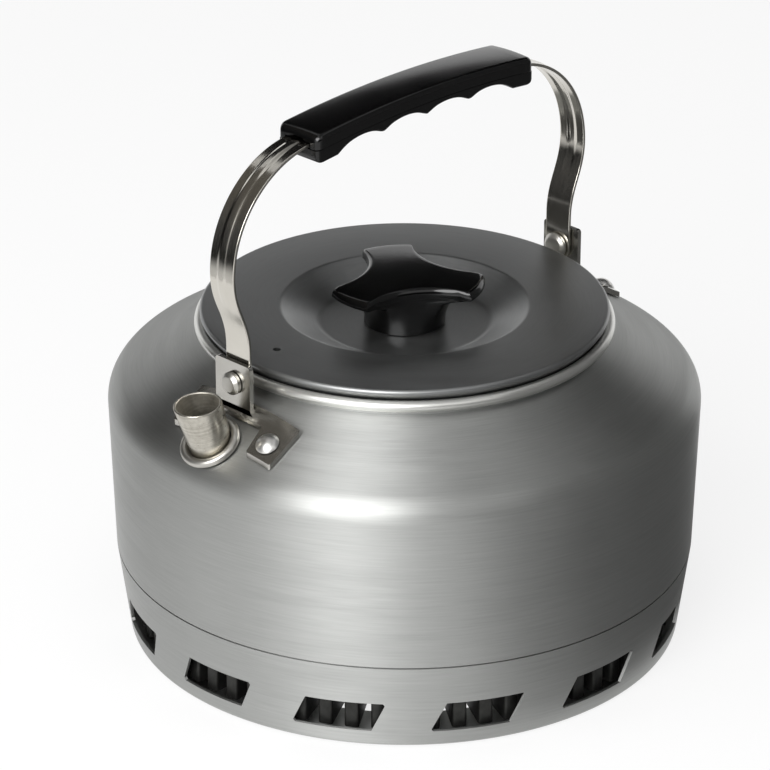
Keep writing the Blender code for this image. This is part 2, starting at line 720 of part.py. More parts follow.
PARTING = STRIP_THICKNESS / 2 + GAP     # cover's lower edge below the strip's middle


def grip_screw_frame(y):
    """Frame at the strip's middle over a grip screw, with Z up."""
    return Matrix.Translation((0.0, y + GRIP_SHIFT, crown_z(y + GRIP_SHIFT)))


def grip_points(y, line):
    """A section of the grip at its own length coordinate, set on the strip."""
    place = y + GRIP_SHIFT
    return [(x, place, crown_z(place) + v) for x, v in line]


def cover_section(y):
    """Section of the cover with the channel for the strip."""
    end = GRIP_HALF_LENGTH - abs(y)
    shrink = 0.0
    if end < GRIP_EDGE_R:
        shrink = GRIP_EDGE_R - math.sqrt(GRIP_EDGE_R ** 2 - (GRIP_EDGE_R - end) ** 2)
    half = GRIP_WIDTH / 2 - shrink * 0.8
    top = GRIP_COVER_H - shrink * 0.9
    channel = STRIP_WIDTH / 2 + GAP
    roof = STRIP_THICKNESS / 2 + RIB_HEIGHT + GAP
    edge = min(GRIP_EDGE_R, top - roof + 0.0012)
    right = [(half, -PARTING)] + arc((half - edge, top - edge), edge, 0, 90, 3)
    line = [(channel, -PARTING)] + right + [(0.0, top + GRIP_CROWN)]
    line += [(-x, v) for x, v in reversed(right)] + [(-channel, -PARTING)]
    line += [(-channel, roof), (channel, roof)]
    return grip_points(y, line)


def cover_stations():
    """Places of the cover's sections, closer together at its rounded ends."""
    ends = [GRIP_HALF_LENGTH - GRIP_EDGE_R * share for share in (0.08, 0.3, 1.0)]
    inner = GRIP_HALF_LENGTH - GRIP_EDGE_R
    middle = [inner * (1 - i / 3) for i in range(1, 3)]
    half = ends + middle
    return half + [0.0] + [-y for y in reversed(half)]


def scallop_depth(y):
    """Depth of the base below the strip's middle, with its finger scallops."""
    half_pitch = SCALLOP_PITCH / 2
    radius = (half_pitch ** 2 + SCALLOP_DEPTH ** 2) / (2 * SCALLOP_DEPTH)
    last = (SCALLOP_COUNT - 1) / 2 * SCALLOP_PITCH
    centres = [-last + i * SCALLOP_PITCH for i in range(SCALLOP_COUNT)]
    reach = min(min(abs(y - centre) for centre in centres), radius * 0.9)
    sag = radius - math.sqrt(radius ** 2 - reach ** 2)
    depth = min(CUSP_DEPTH - SCALLOP_DEPTH + sag, LOBE_DEPTH)
    end = GRIP_HALF_LENGTH - abs(y)
    if end < GRIP_EDGE_R:
        depth -= (GRIP_EDGE_R - math.sqrt(GRIP_EDGE_R ** 2 - (GRIP_EDGE_R - end) ** 2)) * 0.8
    return depth


def base_section(y):
    """Section of the grip's base."""
    half = GRIP_WIDTH / 2 - GAP
    top = -PARTING - GAP
    low = -scallop_depth(y)
    edge = (top - low) * 0.5
    right = [(half, top), (half, low + edge), (half - edge * 0.4, low + edge * 0.25),
             (half - edge * 1.2, low)]
    return grip_points(y, right + [(-x, v) for x, v in reversed(right)])


def base_stations():
    """Places of the base's sections, with one on every cusp."""
    length = GRIP_HALF_LENGTH
    edge = SCALLOP_COUNT / 2 * SCALLOP_PITCH
    half = [length - GRIP_EDGE_R * share for share in (0.04, 0.3, 1.0)]
    half.append(edge + (CUSP_DEPTH - SCALLOP_DEPTH) * 0.35)
    steps = SCALLOP_COUNT // 2 * 6
    half += [edge * (1 - i / steps) for i in range(1, steps)]
    return half + [0.0] + [-y for y in reversed(half)]


cover = add_object("grip_cover", loft_mesh("grip_cover", [cover_section(y) for y in cover_stations()]),
                   BLACK_PLASTIC)
base = add_object("grip_base", loft_mesh("grip_base", [base_section(y) for y in base_stations()]),
                  BLACK_PLASTIC)


def grip_screw_outline():
    """Self-tapping screw from the base up into the cover."""
    seat = -LOBE_DEPTH + GRIP_SCREW_HEAD_H + GAP
    tip = GRIP_COVER_H - 0.0010
    return [
        (0.0, tip),
        (GRIP_SCREW_R * 0.5, tip),
        (GRIP_SCREW_R, tip - 0.0008),
        (GRIP_SCREW_R, seat),
        (GRIP_SCREW_HEAD_R, seat),
        (GRIP_SCREW_HEAD_R * 0.8, seat - GRIP_SCREW_HEAD_H),
        (0.0, seat - GRIP_SCREW_HEAD_H),
    ]


grip_screw = turned_mesh("grip_screw", grip_screw_outline(), 12)
grip_screws = []
for side, y in (("front", -GRIP_SCREW_Y), ("rear", GRIP_SCREW_Y)):
    place = grip_screw_frame(y)
    screw = add_object("grip_screw_" + side, grip_screw, ZINC_STEEL)
    screw.matrix_world = place
    grip_screws.append(screw)
    reach = GRIP_COVER_H - 0.0007
    bore_length = reach + LOBE_DEPTH + 0.001
    bore_place = place @ Matrix.Translation((0.0, 0.0, reach - bore_length / 2))
    bore = cylinder_cutter("grip_bore_" + side, GRIP_SCREW_R + GAP, bore_length, bore_place, 12)
    for piece in (strip, cover, base):
        cut(piece, bore)
    sink_top = -LOBE_DEPTH + GRIP_SCREW_HEAD_H + 2 * GAP
    sink_place = place @ Matrix.Translation((0.0, 0.0, sink_top - 0.002))
    cut(base, cylinder_cutter("grip_sink_" + side, GRIP_SCREW_HEAD_R + GAP, 0.004, sink_place, 12))


# Lid

def lid_outline():
    """Closed outline of the lid: top face, hemmed rim, plug skirt and underside."""
    hole = KNOB_SCREW_R + GAP
    floor = (DISH_FLOOR_R, DISH_FLOOR_Z)
    lip = (DISH_R, LID_TOP_Z)
    top = [(hole, DISH_FLOOR_Z)]
    top += fillet((0.0, DISH_FLOOR_Z), floor, lip, DISH_CORNER_R, 2)
    top += fillet(floor, lip, (LID_R, LID_TOP_Z), DISH_LIP_R, 2)
    rim = arc((LID_R - LID_EDGE_R, LID_TOP_Z - LID_EDGE_R), LID_EDGE_R, 90, -20, 3)
    plug_r = MOUTH_R - PLUG_CLEARANCE
    plug_z = LID_SEAT_Z - PLUG_DEPTH
    hem = [(LID_R - LID_HEM_UNDERCUT, LID_SEAT_Z), (plug_r, LID_SEAT_Z), (plug_r, plug_z),
           (plug_r - LID_WALL, plug_z), (plug_r - LID_WALL, LID_TOP_Z - LID_WALL)]
    under = inset(top[1:], LID_WALL)
    under.append((plug_r - LID_WALL, LID_TOP_Z - LID_WALL))
    return ring(top + rim + hem[:-1] + under[::-1] + [(hole, DISH_FLOOR_Z - LID_WALL)])


lid = add_object("lid", turned_mesh("lid", lid_outline(), LID_STEPS), ANODISED_LID)
vent_place = Matrix.Translation((VENT_X, VENT_Y, LID_TOP_Z))
cut(lid, cylinder_cutter("vent_hole", VENT_R, 0.006, vent_place, 10))


# Knob

def knob_radius(azimuth, tip, half_width, waist):
    """Radius of the three-lobed outline; its first lobe points at azimuth 0."""
    sector = math.tau / 3
    from_tip = abs((azimuth + sector / 2) % sector - sector / 2)
    corner = math.asin(half_width / tip)
    if from_tip <= corner:
        return tip
    turn = sector / 2 - from_tip
    corner_x = tip * math.cos(sector / 2 - corner)
    corner_y = tip * math.sin(sector / 2 - corner)
    rise = corner_x - waist
    bend = (corner_y ** 2 + rise ** 2) / (2 * rise)
    middle = waist + bend
    return middle * math.cos(turn) - math.sqrt(bend ** 2 - (middle * math.sin(turn)) ** 2)


def knob_azimuths():
    """Directions of the outline's points, with a point on each lobe's corners."""
    corner = math.asin(KNOB_TIP_HALF_WIDTH / KNOB_TIP_R)
    sector = math.tau / 3
    side = [corner * share for share in (-1.0, -0.5, 0.0, 0.5, 1.0)]
    hollow = [corner + (sector - 2 * corner) * i / 8 for i in range(1, 8)]
    return [lobe * sector + turn for lobe in range(3) for turn in side + hollow]


def knob_ring(height, tip, half_width, waist, dome=0.0):
    """One closed ring of the knob, with one lobe towards the spout."""
    points = []
    for azimuth in knob_azimuths():
        radius = knob_radius(azimuth, tip, half_width, waist)
        z = height - dome * (radius / KNOB_TIP_R) ** 2
        turn = azimuth + KNOB_TURN
        points.append((radius * math.sin(turn), -radius * math.cos(turn), z))
    return points


def knob_mesh():
    """Loft from the round foot over the waisted stem to the three lobes."""
    foot = DISH_FLOOR_Z + GAP
    top = DISH_FLOOR_Z + KNOB_HEIGHT
    under = top - KNOB_DOME - KNOB_PLATE
    edge = KNOB_EDGE_R
    tip, width, waist = KNOB_TIP_R, KNOB_TIP_HALF_WIDTH, KNOB_WAIST_R
    round_foot = [(KNOB_FOOT_R * math.sin(a + KNOB_TURN), -KNOB_FOOT_R * math.cos(a + KNOB_TURN), foot)
                  for a in knob_azimuths()]
    stem = KNOB_STEM_TOP_R
    sections = [
        round_foot,
        knob_ring(under - 0.0020, stem, stem * 0.45, stem * 0.76),
        knob_ring(under - 0.0002, tip - 0.0016, width - 0.0005, waist - 0.0002),
        knob_ring(under + 0.0006, tip, width, waist),
        knob_ring(top - edge * 0.5, tip - edge * 0.2, width - edge * 0.1, waist - edge * 0.2, KNOB_DOME),
        knob_ring(top, tip - edge, width - edge * 0.4, waist - edge, KNOB_DOME),
        knob_ring(top, tip * 0.5, width * 0.7, waist * 0.6, KNOB_DOME),
    ]
    return loft_mesh("lid_knob", sections)


knob = add_object("lid_knob", knob_mesh(), BLACK_PLASTIC)
pilot_low = DISH_FLOOR_Z - 0.001
pilot_high = DISH_FLOOR_Z + KNOB_SCREW_LENGTH + 0.001
pilot_place = Matrix.Translation((0.0, 0.0, (pilot_low + pilot_high) / 2))
cut(knob, cylinder_cutter("knob_pilot", KNOB_SCREW_R + GAP, pilot_high - pilot_low, pilot_place, 12))

under_dish = DISH_FLOOR_Z - LID_WALL
washer_outline = [
    (KNOB_SCREW_R + GAP, under_dish - GAP),
    (KNOB_WASHER_R, under_dish - GAP),
    (KNOB_WASHER_R, under_dish - GAP - KNOB_WASHER_T),
    (KNOB_SCREW_R + GAP, under_dish - GAP - KNOB_WASHER_T),
]
washer = add_object("knob_washer", turned_mesh("knob_washer", ring(washer_outline), 16), ZINC_STEEL)

head_z = under_dish - 2 * GAP - KNOB_WASHER_T
screw_outline = [
    (0.0, DISH_FLOOR_Z + KNOB_SCREW_LENGTH),
    (KNOB_SCREW_R * 0.4, DISH_FLOOR_Z + KNOB_SCREW_LENGTH),
    (KNOB_SCREW_R, DISH_FLOOR_Z + KNOB_SCREW_LENGTH - 0.0012),
    (KNOB_SCREW_R, head_z),
    (KNOB_SCREW_HEAD_R, head_z),
    (KNOB_SCREW_HEAD_R * 0.8, head_z - KNOB_SCREW_HEAD_H),
    (0.0, head_z - KNOB_SCREW_HEAD_H),
]
knob_screw = add_object("knob_screw", turned_mesh("knob_screw", screw_outline, 12), ZINC_STEEL)


# Joints

carry(empty_at("bail_hinge", (0.0, 0.0, HINGE_Z)), [strip, cover, base] + grip_screws)
carry(empty_at("lid_lift", (0.0, 0.0, LID_SEAT_Z)), [lid, knob, washer, knob_screw])
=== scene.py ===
import math

import bmesh
import bpy
from mathutils import Matrix, Vector


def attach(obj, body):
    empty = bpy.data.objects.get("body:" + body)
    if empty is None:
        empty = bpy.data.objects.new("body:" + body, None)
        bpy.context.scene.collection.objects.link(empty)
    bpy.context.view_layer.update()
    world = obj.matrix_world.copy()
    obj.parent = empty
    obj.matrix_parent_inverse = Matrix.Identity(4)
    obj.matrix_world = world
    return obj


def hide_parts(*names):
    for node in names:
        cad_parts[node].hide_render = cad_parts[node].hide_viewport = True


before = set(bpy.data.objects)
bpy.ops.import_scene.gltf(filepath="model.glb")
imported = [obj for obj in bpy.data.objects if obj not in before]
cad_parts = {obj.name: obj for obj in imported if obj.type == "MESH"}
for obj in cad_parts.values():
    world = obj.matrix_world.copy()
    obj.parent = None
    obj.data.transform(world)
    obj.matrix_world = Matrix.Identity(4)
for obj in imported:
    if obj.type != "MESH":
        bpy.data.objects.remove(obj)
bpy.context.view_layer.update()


# Vessel: one aluminium sheet, spun to a tapering wall, a sloping shoulder and a rolled
# bead round its mouth. It is brushed on the lathe and then hard anodised to a mid grey,
# so it is a metal under a thin, slightly dull skin with fine lines round the axis.

def linear(colour):
    """An sRGB hex value as the linear colour that Blender's sockets take."""
    channels = [int(colour[i:i + 2], 16) / 255 for i in (1, 3, 5)]
    return [c / 12.92 if c <= 0.04045 else ((c + 0.055) / 1.055) ** 2.4 for c in channels] + [1.0]


def node(tree, kind, inputs=None, **settings):
    """Add a node with its settings and its inputs, a dict or a tuple from the first socket on.

    An input takes a value, a socket or a node's first output.
    """
    new = tree.nodes.new(kind)
    for name, value in settings.items():
        setattr(new, name, value)
    if isinstance(inputs, tuple):
        inputs = dict(enumerate(inputs))
    for name, value in (inputs or {}).items():
        if isinstance(value, bpy.types.Node):
            value = value.outputs[0]
        if isinstance(value, bpy.types.NodeSocket):
            tree.links.new(value, new.inputs[name])
        else:
            new.inputs[name].default_value = value
    return new


def surface(name):
    """A new material with its node tree, its Principled shader and the object's coordinates."""
    material = bpy.data.materials.new(name)
    material.use_nodes = True
    tree = material.node_tree
    place = node(tree, "ShaderNodeTexCoord").outputs["Object"]
    return material, tree, tree.nodes["Principled BSDF"], place


def coat(tree, shader, tone, dark, light, levels, rough=None, relief=None):
    """Colour between two shades by a pattern, with roughness, relief and fixed levels."""
    tint = node(tree, "ShaderNodeMix", {0: tone, 6: linear(dark), 7: linear(light)}, data_type="RGBA")
    tree.links.new(tint.outputs[2], shader.inputs["Base Color"])
    for socket, pattern in (("Roughness", rough), ("Normal", relief)):
        if pattern:
            tree.links.new(pattern.outputs[0], shader.inputs[socket])
    for socket, level in levels.items():
        shader.inputs[socket].default_value = level


def brushed_round(name, dark, light, roughness, line_width, anisotropic, groove):
    """Aluminium brushed on a lathe: fine lines about the Z axis, under an anodised skin."""
    material, tree, shader, place = surface(name)
    parts = node(tree, "ShaderNodeSeparateXYZ", {0: place})
    flat = node(tree, "ShaderNodeCombineXYZ", (parts.outputs[0], parts.outputs[1]))
    radius = node(tree, "ShaderNodeVectorMath", {0: flat}, operation="LENGTH").outputs["Value"]
    around = node(tree, "ShaderNodeVectorMath", {0: flat}, operation="NORMALIZE")
    across = node(tree, "ShaderNodeMath", (parts.outputs[2], radius), operation="SUBTRACT")
    layers = []
    for reach, width, detail in ((5.0, line_width, 3.0), (2.5, line_width * 9, 2.0), (1.6, 0.03, 1.0)):
        rows = node(tree, "ShaderNodeMath", (across, width), operation="DIVIDE")
        lift = node(tree, "ShaderNodeCombineXYZ", {2: rows})
        spot = node(tree, "ShaderNodeVectorMath",
                    (around, (reach, reach, reach), lift), operation="MULTIPLY_ADD")
        layers.append(node(tree, "ShaderNodeTexNoise",
                           {"Vector": spot, "Scale": 1.0, "Detail": detail, "Roughness": 0.6}))
    lines, bands, clouds = layers
    mixed = node(tree, "ShaderNodeMath", (
        node(tree, "ShaderNodeMath", (lines, 0.55), operation="MULTIPLY"),
        node(tree, "ShaderNodeMath", (bands, 0.25), operation="MULTIPLY")), operation="ADD")
    shade = node(tree, "ShaderNodeMath", (clouds, 0.20, mixed), operation="MULTIPLY_ADD")
    spread = node(tree, "ShaderNodeMapRange", {"Value": shade, "From Min": 0.32, "From Max": 0.68})
    polish = node(tree, "ShaderNodeMapRange", {
        "Value": bands, "From Min": 0.3, "From Max": 0.7,
        "To Min": roughness - 0.02, "To Max": roughness + 0.03})
    grooves = node(tree, "ShaderNodeBump", {"Strength": groove, "Distance": 0.00002, "Height": lines})
    # A quarter turn of the tangent draws each highlight out across the brushing
    tangent = node(tree, "ShaderNodeTangent", direction_type="RADIAL", axis="Z")
    tree.links.new(tangent.outputs[0], shader.inputs["Tangent"])
    coat(tree, shader, spread, dark, light,
         {"Metallic": 1.0, "Anisotropic": anisotropic, "Anisotropic Rotation": 0.25}, polish, grooves)
    return material


def group(name, *numbers, **others):
    """A Geometry Nodes tree with one geometry in and out, inputs for its sizes and a material."""
    tree = bpy.data.node_groups.new(name, "GeometryNodeTree")
    tree.interface.new_socket("Geometry", in_out="INPUT", socket_type="NodeSocketGeometry")
    tree.interface.new_socket("Geometry", in_out="OUTPUT", socket_type="NodeSocketGeometry")
    for label, kind in {**dict.fromkeys(numbers, "Float"), **others, "Material": "Material"}.items():
        tree.interface.new_socket(label, in_out="INPUT", socket_type="NodeSocket" + kind)
    return tree, node(tree, "NodeGroupInput").outputs


def close_group(tree, geometry, sizes):
    """End a tree with plain geometry and its material."""
    real = node(tree, "GeometryNodeRealizeInstances", {0: geometry})
    painted = node(tree, "GeometryNodeSetMaterial", {"Geometry": real, "Material": sizes["Material"]})
    node(tree, "NodeGroupOutput", {0: painted})


def added(name, data):
    """A new object in the scene."""
    obj = bpy.data.objects.new(name, data)
    bpy.context.scene.collection.objects.link(obj)
    return obj


def baked(obj):
    """The plain mesh that an object's modifiers give."""
    bpy.context.view_layer.update()
    result = obj.evaluated_get(bpy.context.evaluated_depsgraph_get())
    return bpy.data.meshes.new_from_object(result)


# Edges that turn by more than this many degrees stay sharp
crease = 38


def made_by(name, tree, mesh, sizes, place=Matrix()):
    """Run a tree on a mesh and keep the result as a plain piece, placed in its vertices."""
    carrier = added(name + "_source", mesh)
    modifier = carrier.modifiers.new("nodes", "NODES")
    modifier.node_group = tree
    for item in tree.interface.items_tree:
        if item.in_out == "INPUT" and item.name in sizes:
            modifier[item.identifier] = sizes[item.name]
    plain = baked(carrier)
    bpy.data.objects.remove(carrier)
    return piece(name, plain, place)


def piece(name, mesh, place=Matrix(), sharp=crease):
    """A finished object at the origin, with merged points, outward faces and smooth shading."""
    bm = bmesh.new()
    bm.from_mesh(mesh)
    bmesh.ops.remove_doubles(bm, verts=bm.verts, dist=1e-6)
    bmesh.ops.recalc_face_normals(bm, faces=bm.faces)
    bm.transform(place)
    bm.to_mesh(mesh)
    bm.free()
    mesh.name = name
    mesh.shade_smooth()
    mesh.set_sharp_from_angle(angle=math.radians(sharp))
    return added(name, mesh)


def flattened(obj):
    """Let large faces keep their own direction beside small rounded edges."""
    weigh = obj.modifiers.new("weigh", "WEIGHTED_NORMAL")
    weigh.keep_sharp = True
    mesh = baked(obj)
    obj.modifiers.clear()
    obj.data = mesh


def cut(obj, *tools):
    """Cut a piece with other meshes and keep the plain result."""
    for tool in tools:
        boolean = obj.modifiers.new("cut", "BOOLEAN")
        boolean.solver = "EXACT"
        boolean.object = tool
    mesh = baked(obj)
    obj.modifiers.clear()
    obj.data = mesh
    mesh.shade_smooth()
    mesh.set_sharp_from_angle(angle=math.radians(crease))
    for tool in tools:
        bpy.data.objects.remove(tool)


def arc(centre, radius, start, end, segments):
    """Points on an arc, with its angles in degrees."""
    turns = [math.radians(start + (end - start) * i / segments) for i in range(segments + 1)]
    return [(centre[0] + radius * math.cos(t), centre[1] + radius * math.sin(t)) for t in turns]


def fillet(before, corner, after, radius, segments):
    """Points of the arc that rounds a corner of an outline."""
    corner = Vector(corner)
    to_before = (Vector(before) - corner).normalized()
    to_after = (Vector(after) - corner).normalized()
    half = to_before.angle(to_after) / 2
    centre = corner + (to_before + to_after).normalized() * radius / math.sin(half)
    first = corner + to_before * radius / math.tan(half) - centre
    last = corner + to_after * radius / math.tan(half) - centre
    sweep = first.angle_signed(last)
    return [tuple(centre + Matrix.Rotation(-sweep * i / segments, 2) @ first)
            for i in range(segments + 1)]


def rounded(outline, radii, segments=5, closed=False):
    """An outline with its corners rounded; a radius of 0 leaves a corner as it is."""
    points = []
    count = len(outline)
    for i, (corner, radius) in enumerate(zip(outline, radii)):
        if radius and (closed or 0 < i < count - 1):
            points += fillet(outline[i - 1], corner, outline[(i + 1) % count], radius, segments)
        else:
            points.append(corner)
    return points


def inset(points, distance):
    """An open outline moved to its right-hand side, with mitred corners."""
    sides = []
    for start, end in zip(points, points[1:]):
        run = (Vector(end) - Vector(start)).normalized()
        sides.append(Vector((run.y, -run.x)))
    moved = []
    for i, point in enumerate(points):
        left, right = sides[max(i - 1, 0)], sides[min(i, len(sides) - 1)]
        mitre = (left + right) / (1 + left.dot(right))
        moved.append(tuple(Vector(point) + mitre * distance))
    return moved


def chain(points, closed=False):
    """A mesh of edges through a row of points, for the trees that sweep a line."""
    count = len(points)
    mesh = bpy.data.meshes.new("chain")
    mesh.from_pydata(points, [(i, (i + 1) % count) for i in range(count if closed else count - 1)], [])
    return mesh


def lathe_tree():
    """Sweep an outline of radius and height round a circle and close it at the axis."""
    tree, sizes = group("lathe", Steps="Int")
    circle = node(tree, "GeometryNodeCurvePrimitiveCircle", {"Radius": 1.0, "Resolution": sizes["Steps"]})
    profile = node(tree, "GeometryNodeMeshToCurve", {0: sizes["Geometry"]})
    swept = node(tree, "GeometryNodeCurveToMesh", {"Curve": circle, "Profile Curve": profile})
    merged = node(tree, "GeometryNodeMergeByDistance", {"Geometry": swept, "Distance": 2e-6})
    close_group(tree, merged, sizes)
    return tree


lathe = lathe_tree()


def turned(name, outline, steps, material, closed=False, place=Matrix()):
    """A piece made by the lathe tree, whose circle has a radius of 1."""
    line = chain([(r - 1.0, -z, 0.0) for r, z in outline], closed)
    return made_by(name, lathe, line, {"Steps": steps, "Material": material}, place)


def drill(radius, low, high, steps, material, place=Matrix()):
    """A round cutter between two heights."""
    outline = [(0.0, low), (radius, low), (radius, high), (0.0, high)]
    return turned("drill", outline, steps, material, place=place)


shoulder_tilt = math.radians(30.3)
neck_radius, neck_height = 0.06225, 0.0977


def shoulder_height(radius):
    """Height of the shoulder's outside at a distance from the axis."""
    return neck_height - math.tan(shoulder_tilt) * (radius - neck_radius)


def on_shoulder(x, y):
    """Place on the shoulder, with Z along its outward normal."""
    spot = Matrix.Translation((x, y, shoulder_height(math.hypot(x, y))))
    lean = Matrix.Rotation(shoulder_tilt, 4, "Y")
    return spot @ Matrix.Rotation(math.atan2(y, x), 4, "Z") @ lean


# The anodised skin is dull and even, and the brushing under it shows as fine, broken
# lines. Real ones are about 0.1 mm wide, and they are drawn at 0.5 mm so that they show.
anodised = brushed_round("hard_anodised_aluminium", "#a4a5a3", "#b3b4b2", roughness=0.48,
                         line_width=0.0005, anisotropic=0.8, groove=0.2)

sheet, mouth, widest = 0.0012, 0.0605, 0.0909
step_radius, step_height, lap_radius = 0.0894, 0.0284, 0.0881
floor_radius, floor_height = 0.0867, 0.0175
bead_height, bead_round = 0.1001, 0.00175
vessel_outer = rounded(
    [(mouth, shoulder_height(mouth)), (widest, shoulder_height(widest)), (step_radius, step_height),
     (lap_radius, step_height), (floor_radius, floor_height), (0.0, floor_height)],
    [0, 0.0090, 0.0004, 0, 0.0055, 0], 12)
vessel_inner = rounded(
    [(mouth, shoulder_height(mouth) - sheet / math.cos(shoulder_tilt)),
     (widest - sheet, shoulder_height(widest) - sheet * 1.2), (lap_radius - sheet, step_height),
     (floor_radius - sheet, floor_height + sheet), (0.0, floor_height + sheet)],
    [0, 0.0080, 0, 0.0043, 0], 12)
bead = arc((neck_radius, bead_height), bead_round, 180, -90, 22)
vessel = turned("kettle_body_spun",
                vessel_inner[::-1] + bead + [(neck_radius, neck_height)] + vessel_outer[1:],
                224, anodised)

spout_lean, spout_reach = math.radians(19.2), 0.0815
spout_frame = (Matrix.Translation((0.0, -spout_reach, shoulder_height(spout_reach)))
               @ Matrix.Rotation(spout_lean, 4, "X"))
cut(vessel, drill(0.0066, -0.008, 0.008, 64, anodised, spout_frame))
# The rolled bead is burnished smoother where the spinning tool pressed it round, and its paler colour is a
# painted highlight
burnished_bead_painted_highlight = brushed_round("burnished_bead_aluminium_painted_highlight", "#d2d2ce", "#e4e4e0", roughness=0.34,
                          line_width=0.0005, anisotropic=0.5, groove=0.1)
vessel.data.materials.append(burnished_bead_painted_highlight)
# Faces of the rolled bead take the paler material with its painted highlight
for face in vessel.data.polygons:
    beyond = math.hypot(face.center.x, face.center.y) - neck_radius
    if face.center.z > neck_height + 0.0011 and beyond < 0.00225:
        face.material_index = 1
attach(vessel, "kettle")
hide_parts("kettle_body")


# Skirt: a second aluminium ring, brushed and anodised like the vessel, pressed over its
# stepped foot. Its thirteen air windows are punched through the wall, all leaning one
# way, and its lower edge is turned in to a flange that the kettle stands on.

def window_tree():
    """Punch leaning, round-cornered windows through a ring, evenly about its axis."""
    tree, sizes = group("punch_windows", "Width", "Low", "High", "Lean", "Corner", "Phase", "Radius",
                        Count="Int")
    punch_depth = 0.016
    height = node(tree, "ShaderNodeMath", (sizes["High"], sizes["Low"]), operation="SUBTRACT")
    outline = node(tree, "GeometryNodeCurvePrimitiveQuadrilateral",
                   {"Width": sizes["Width"], "Height": height, "Offset": sizes["Lean"]},
                   mode="PARALLELOGRAM")
    soft = node(tree, "GeometryNodeFilletCurve",
                {"Curve": outline, "Radius": sizes["Corner"], "Count": 5}, mode="POLY")
    plate = node(tree, "GeometryNodeFillCurve", {0: soft}, mode="NGONS")
    block = node(tree, "GeometryNodeExtrudeMesh",
                 {"Mesh": plate, "Offset Scale": punch_depth, "Individual": False}, mode="FACES")
    back = node(tree, "GeometryNodeFlipFaces", {0: plate})
    whole = node(tree, "GeometryNodeJoinGeometry", {0: block.outputs["Mesh"]})
    tree.links.new(back.outputs[0], whole.inputs[0])
    punch = node(tree, "GeometryNodeMergeByDistance", {"Geometry": whole})
    middle = node(tree, "ShaderNodeMath", (height, 0.5, sizes["Low"]), operation="MULTIPLY_ADD")
    outside = node(tree, "ShaderNodeMath",
                   (sizes["Radius"], -1.0, punch_depth / 2), operation="MULTIPLY_ADD")
    ready = node(tree, "GeometryNodeTransform", {
        "Geometry": punch, "Rotation": (math.pi / 2, 0.0, 0.0),
        "Translation": node(tree, "ShaderNodeCombineXYZ", {1: outside, 2: middle})})
    spots = node(tree, "GeometryNodePoints", {"Count": sizes["Count"]})
    share = node(tree, "ShaderNodeMath",
                 (node(tree, "GeometryNodeInputIndex"), sizes["Count"]), operation="DIVIDE")
    angle = node(tree, "ShaderNodeMath", (share, math.tau, sizes["Phase"]), operation="MULTIPLY_ADD")
    turn = node(tree, "ShaderNodeCombineXYZ", {2: angle})
    punches = node(tree, "GeometryNodeInstanceOnPoints",
                   {"Points": spots, "Instance": ready, "Rotation": turn})
    solid = node(tree, "GeometryNodeRealizeInstances", {0: punches})
    holed = node(tree, "GeometryNodeMeshBoolean",
                 {"Mesh 1": sizes["Geometry"], "Mesh 2": solid}, operation="DIFFERENCE", solver="EXACT")
    close_group(tree, holed.outputs["Mesh"], sizes)
    return tree


skirt_top, skirt_top_radius, skirt_foot_radius = 0.0281, 0.08936, 0.0857
skirt_wall, flange_radius = 0.0010, 0.0675
skirt_outer = rounded([(skirt_top_radius, skirt_top), (skirt_foot_radius, 0.0), (flange_radius, 0.0)],
                      [0, 0.0015, 0], 8)
skirt_inner = inset(skirt_outer, skirt_wall)
skirt_inner[0] = (skirt_top_radius - skirt_wall, skirt_top)
lip = arc((flange_radius, skirt_wall / 2), skirt_wall / 2, -90, -270, 6)
skirt_ring = turned("skirt_blank", skirt_outer[:-1] + lip + skirt_inner[:-1][::-1],
                    234, anodised, closed=True)
skirt = made_by("skirt_windowed", window_tree(), skirt_ring.data, {
    "Width": 0.0246, "Low": 0.0052, "High": 0.0155, "Lean": 0.0046, "Corner": 0.0009,
    "Phase": math.radians(3.35), "Radius": 0.0875, "Count": 13, "Material": anodised})
bpy.data.objects.remove(skirt_ring)
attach(skirt, "kettle")
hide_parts("skirt_ring")
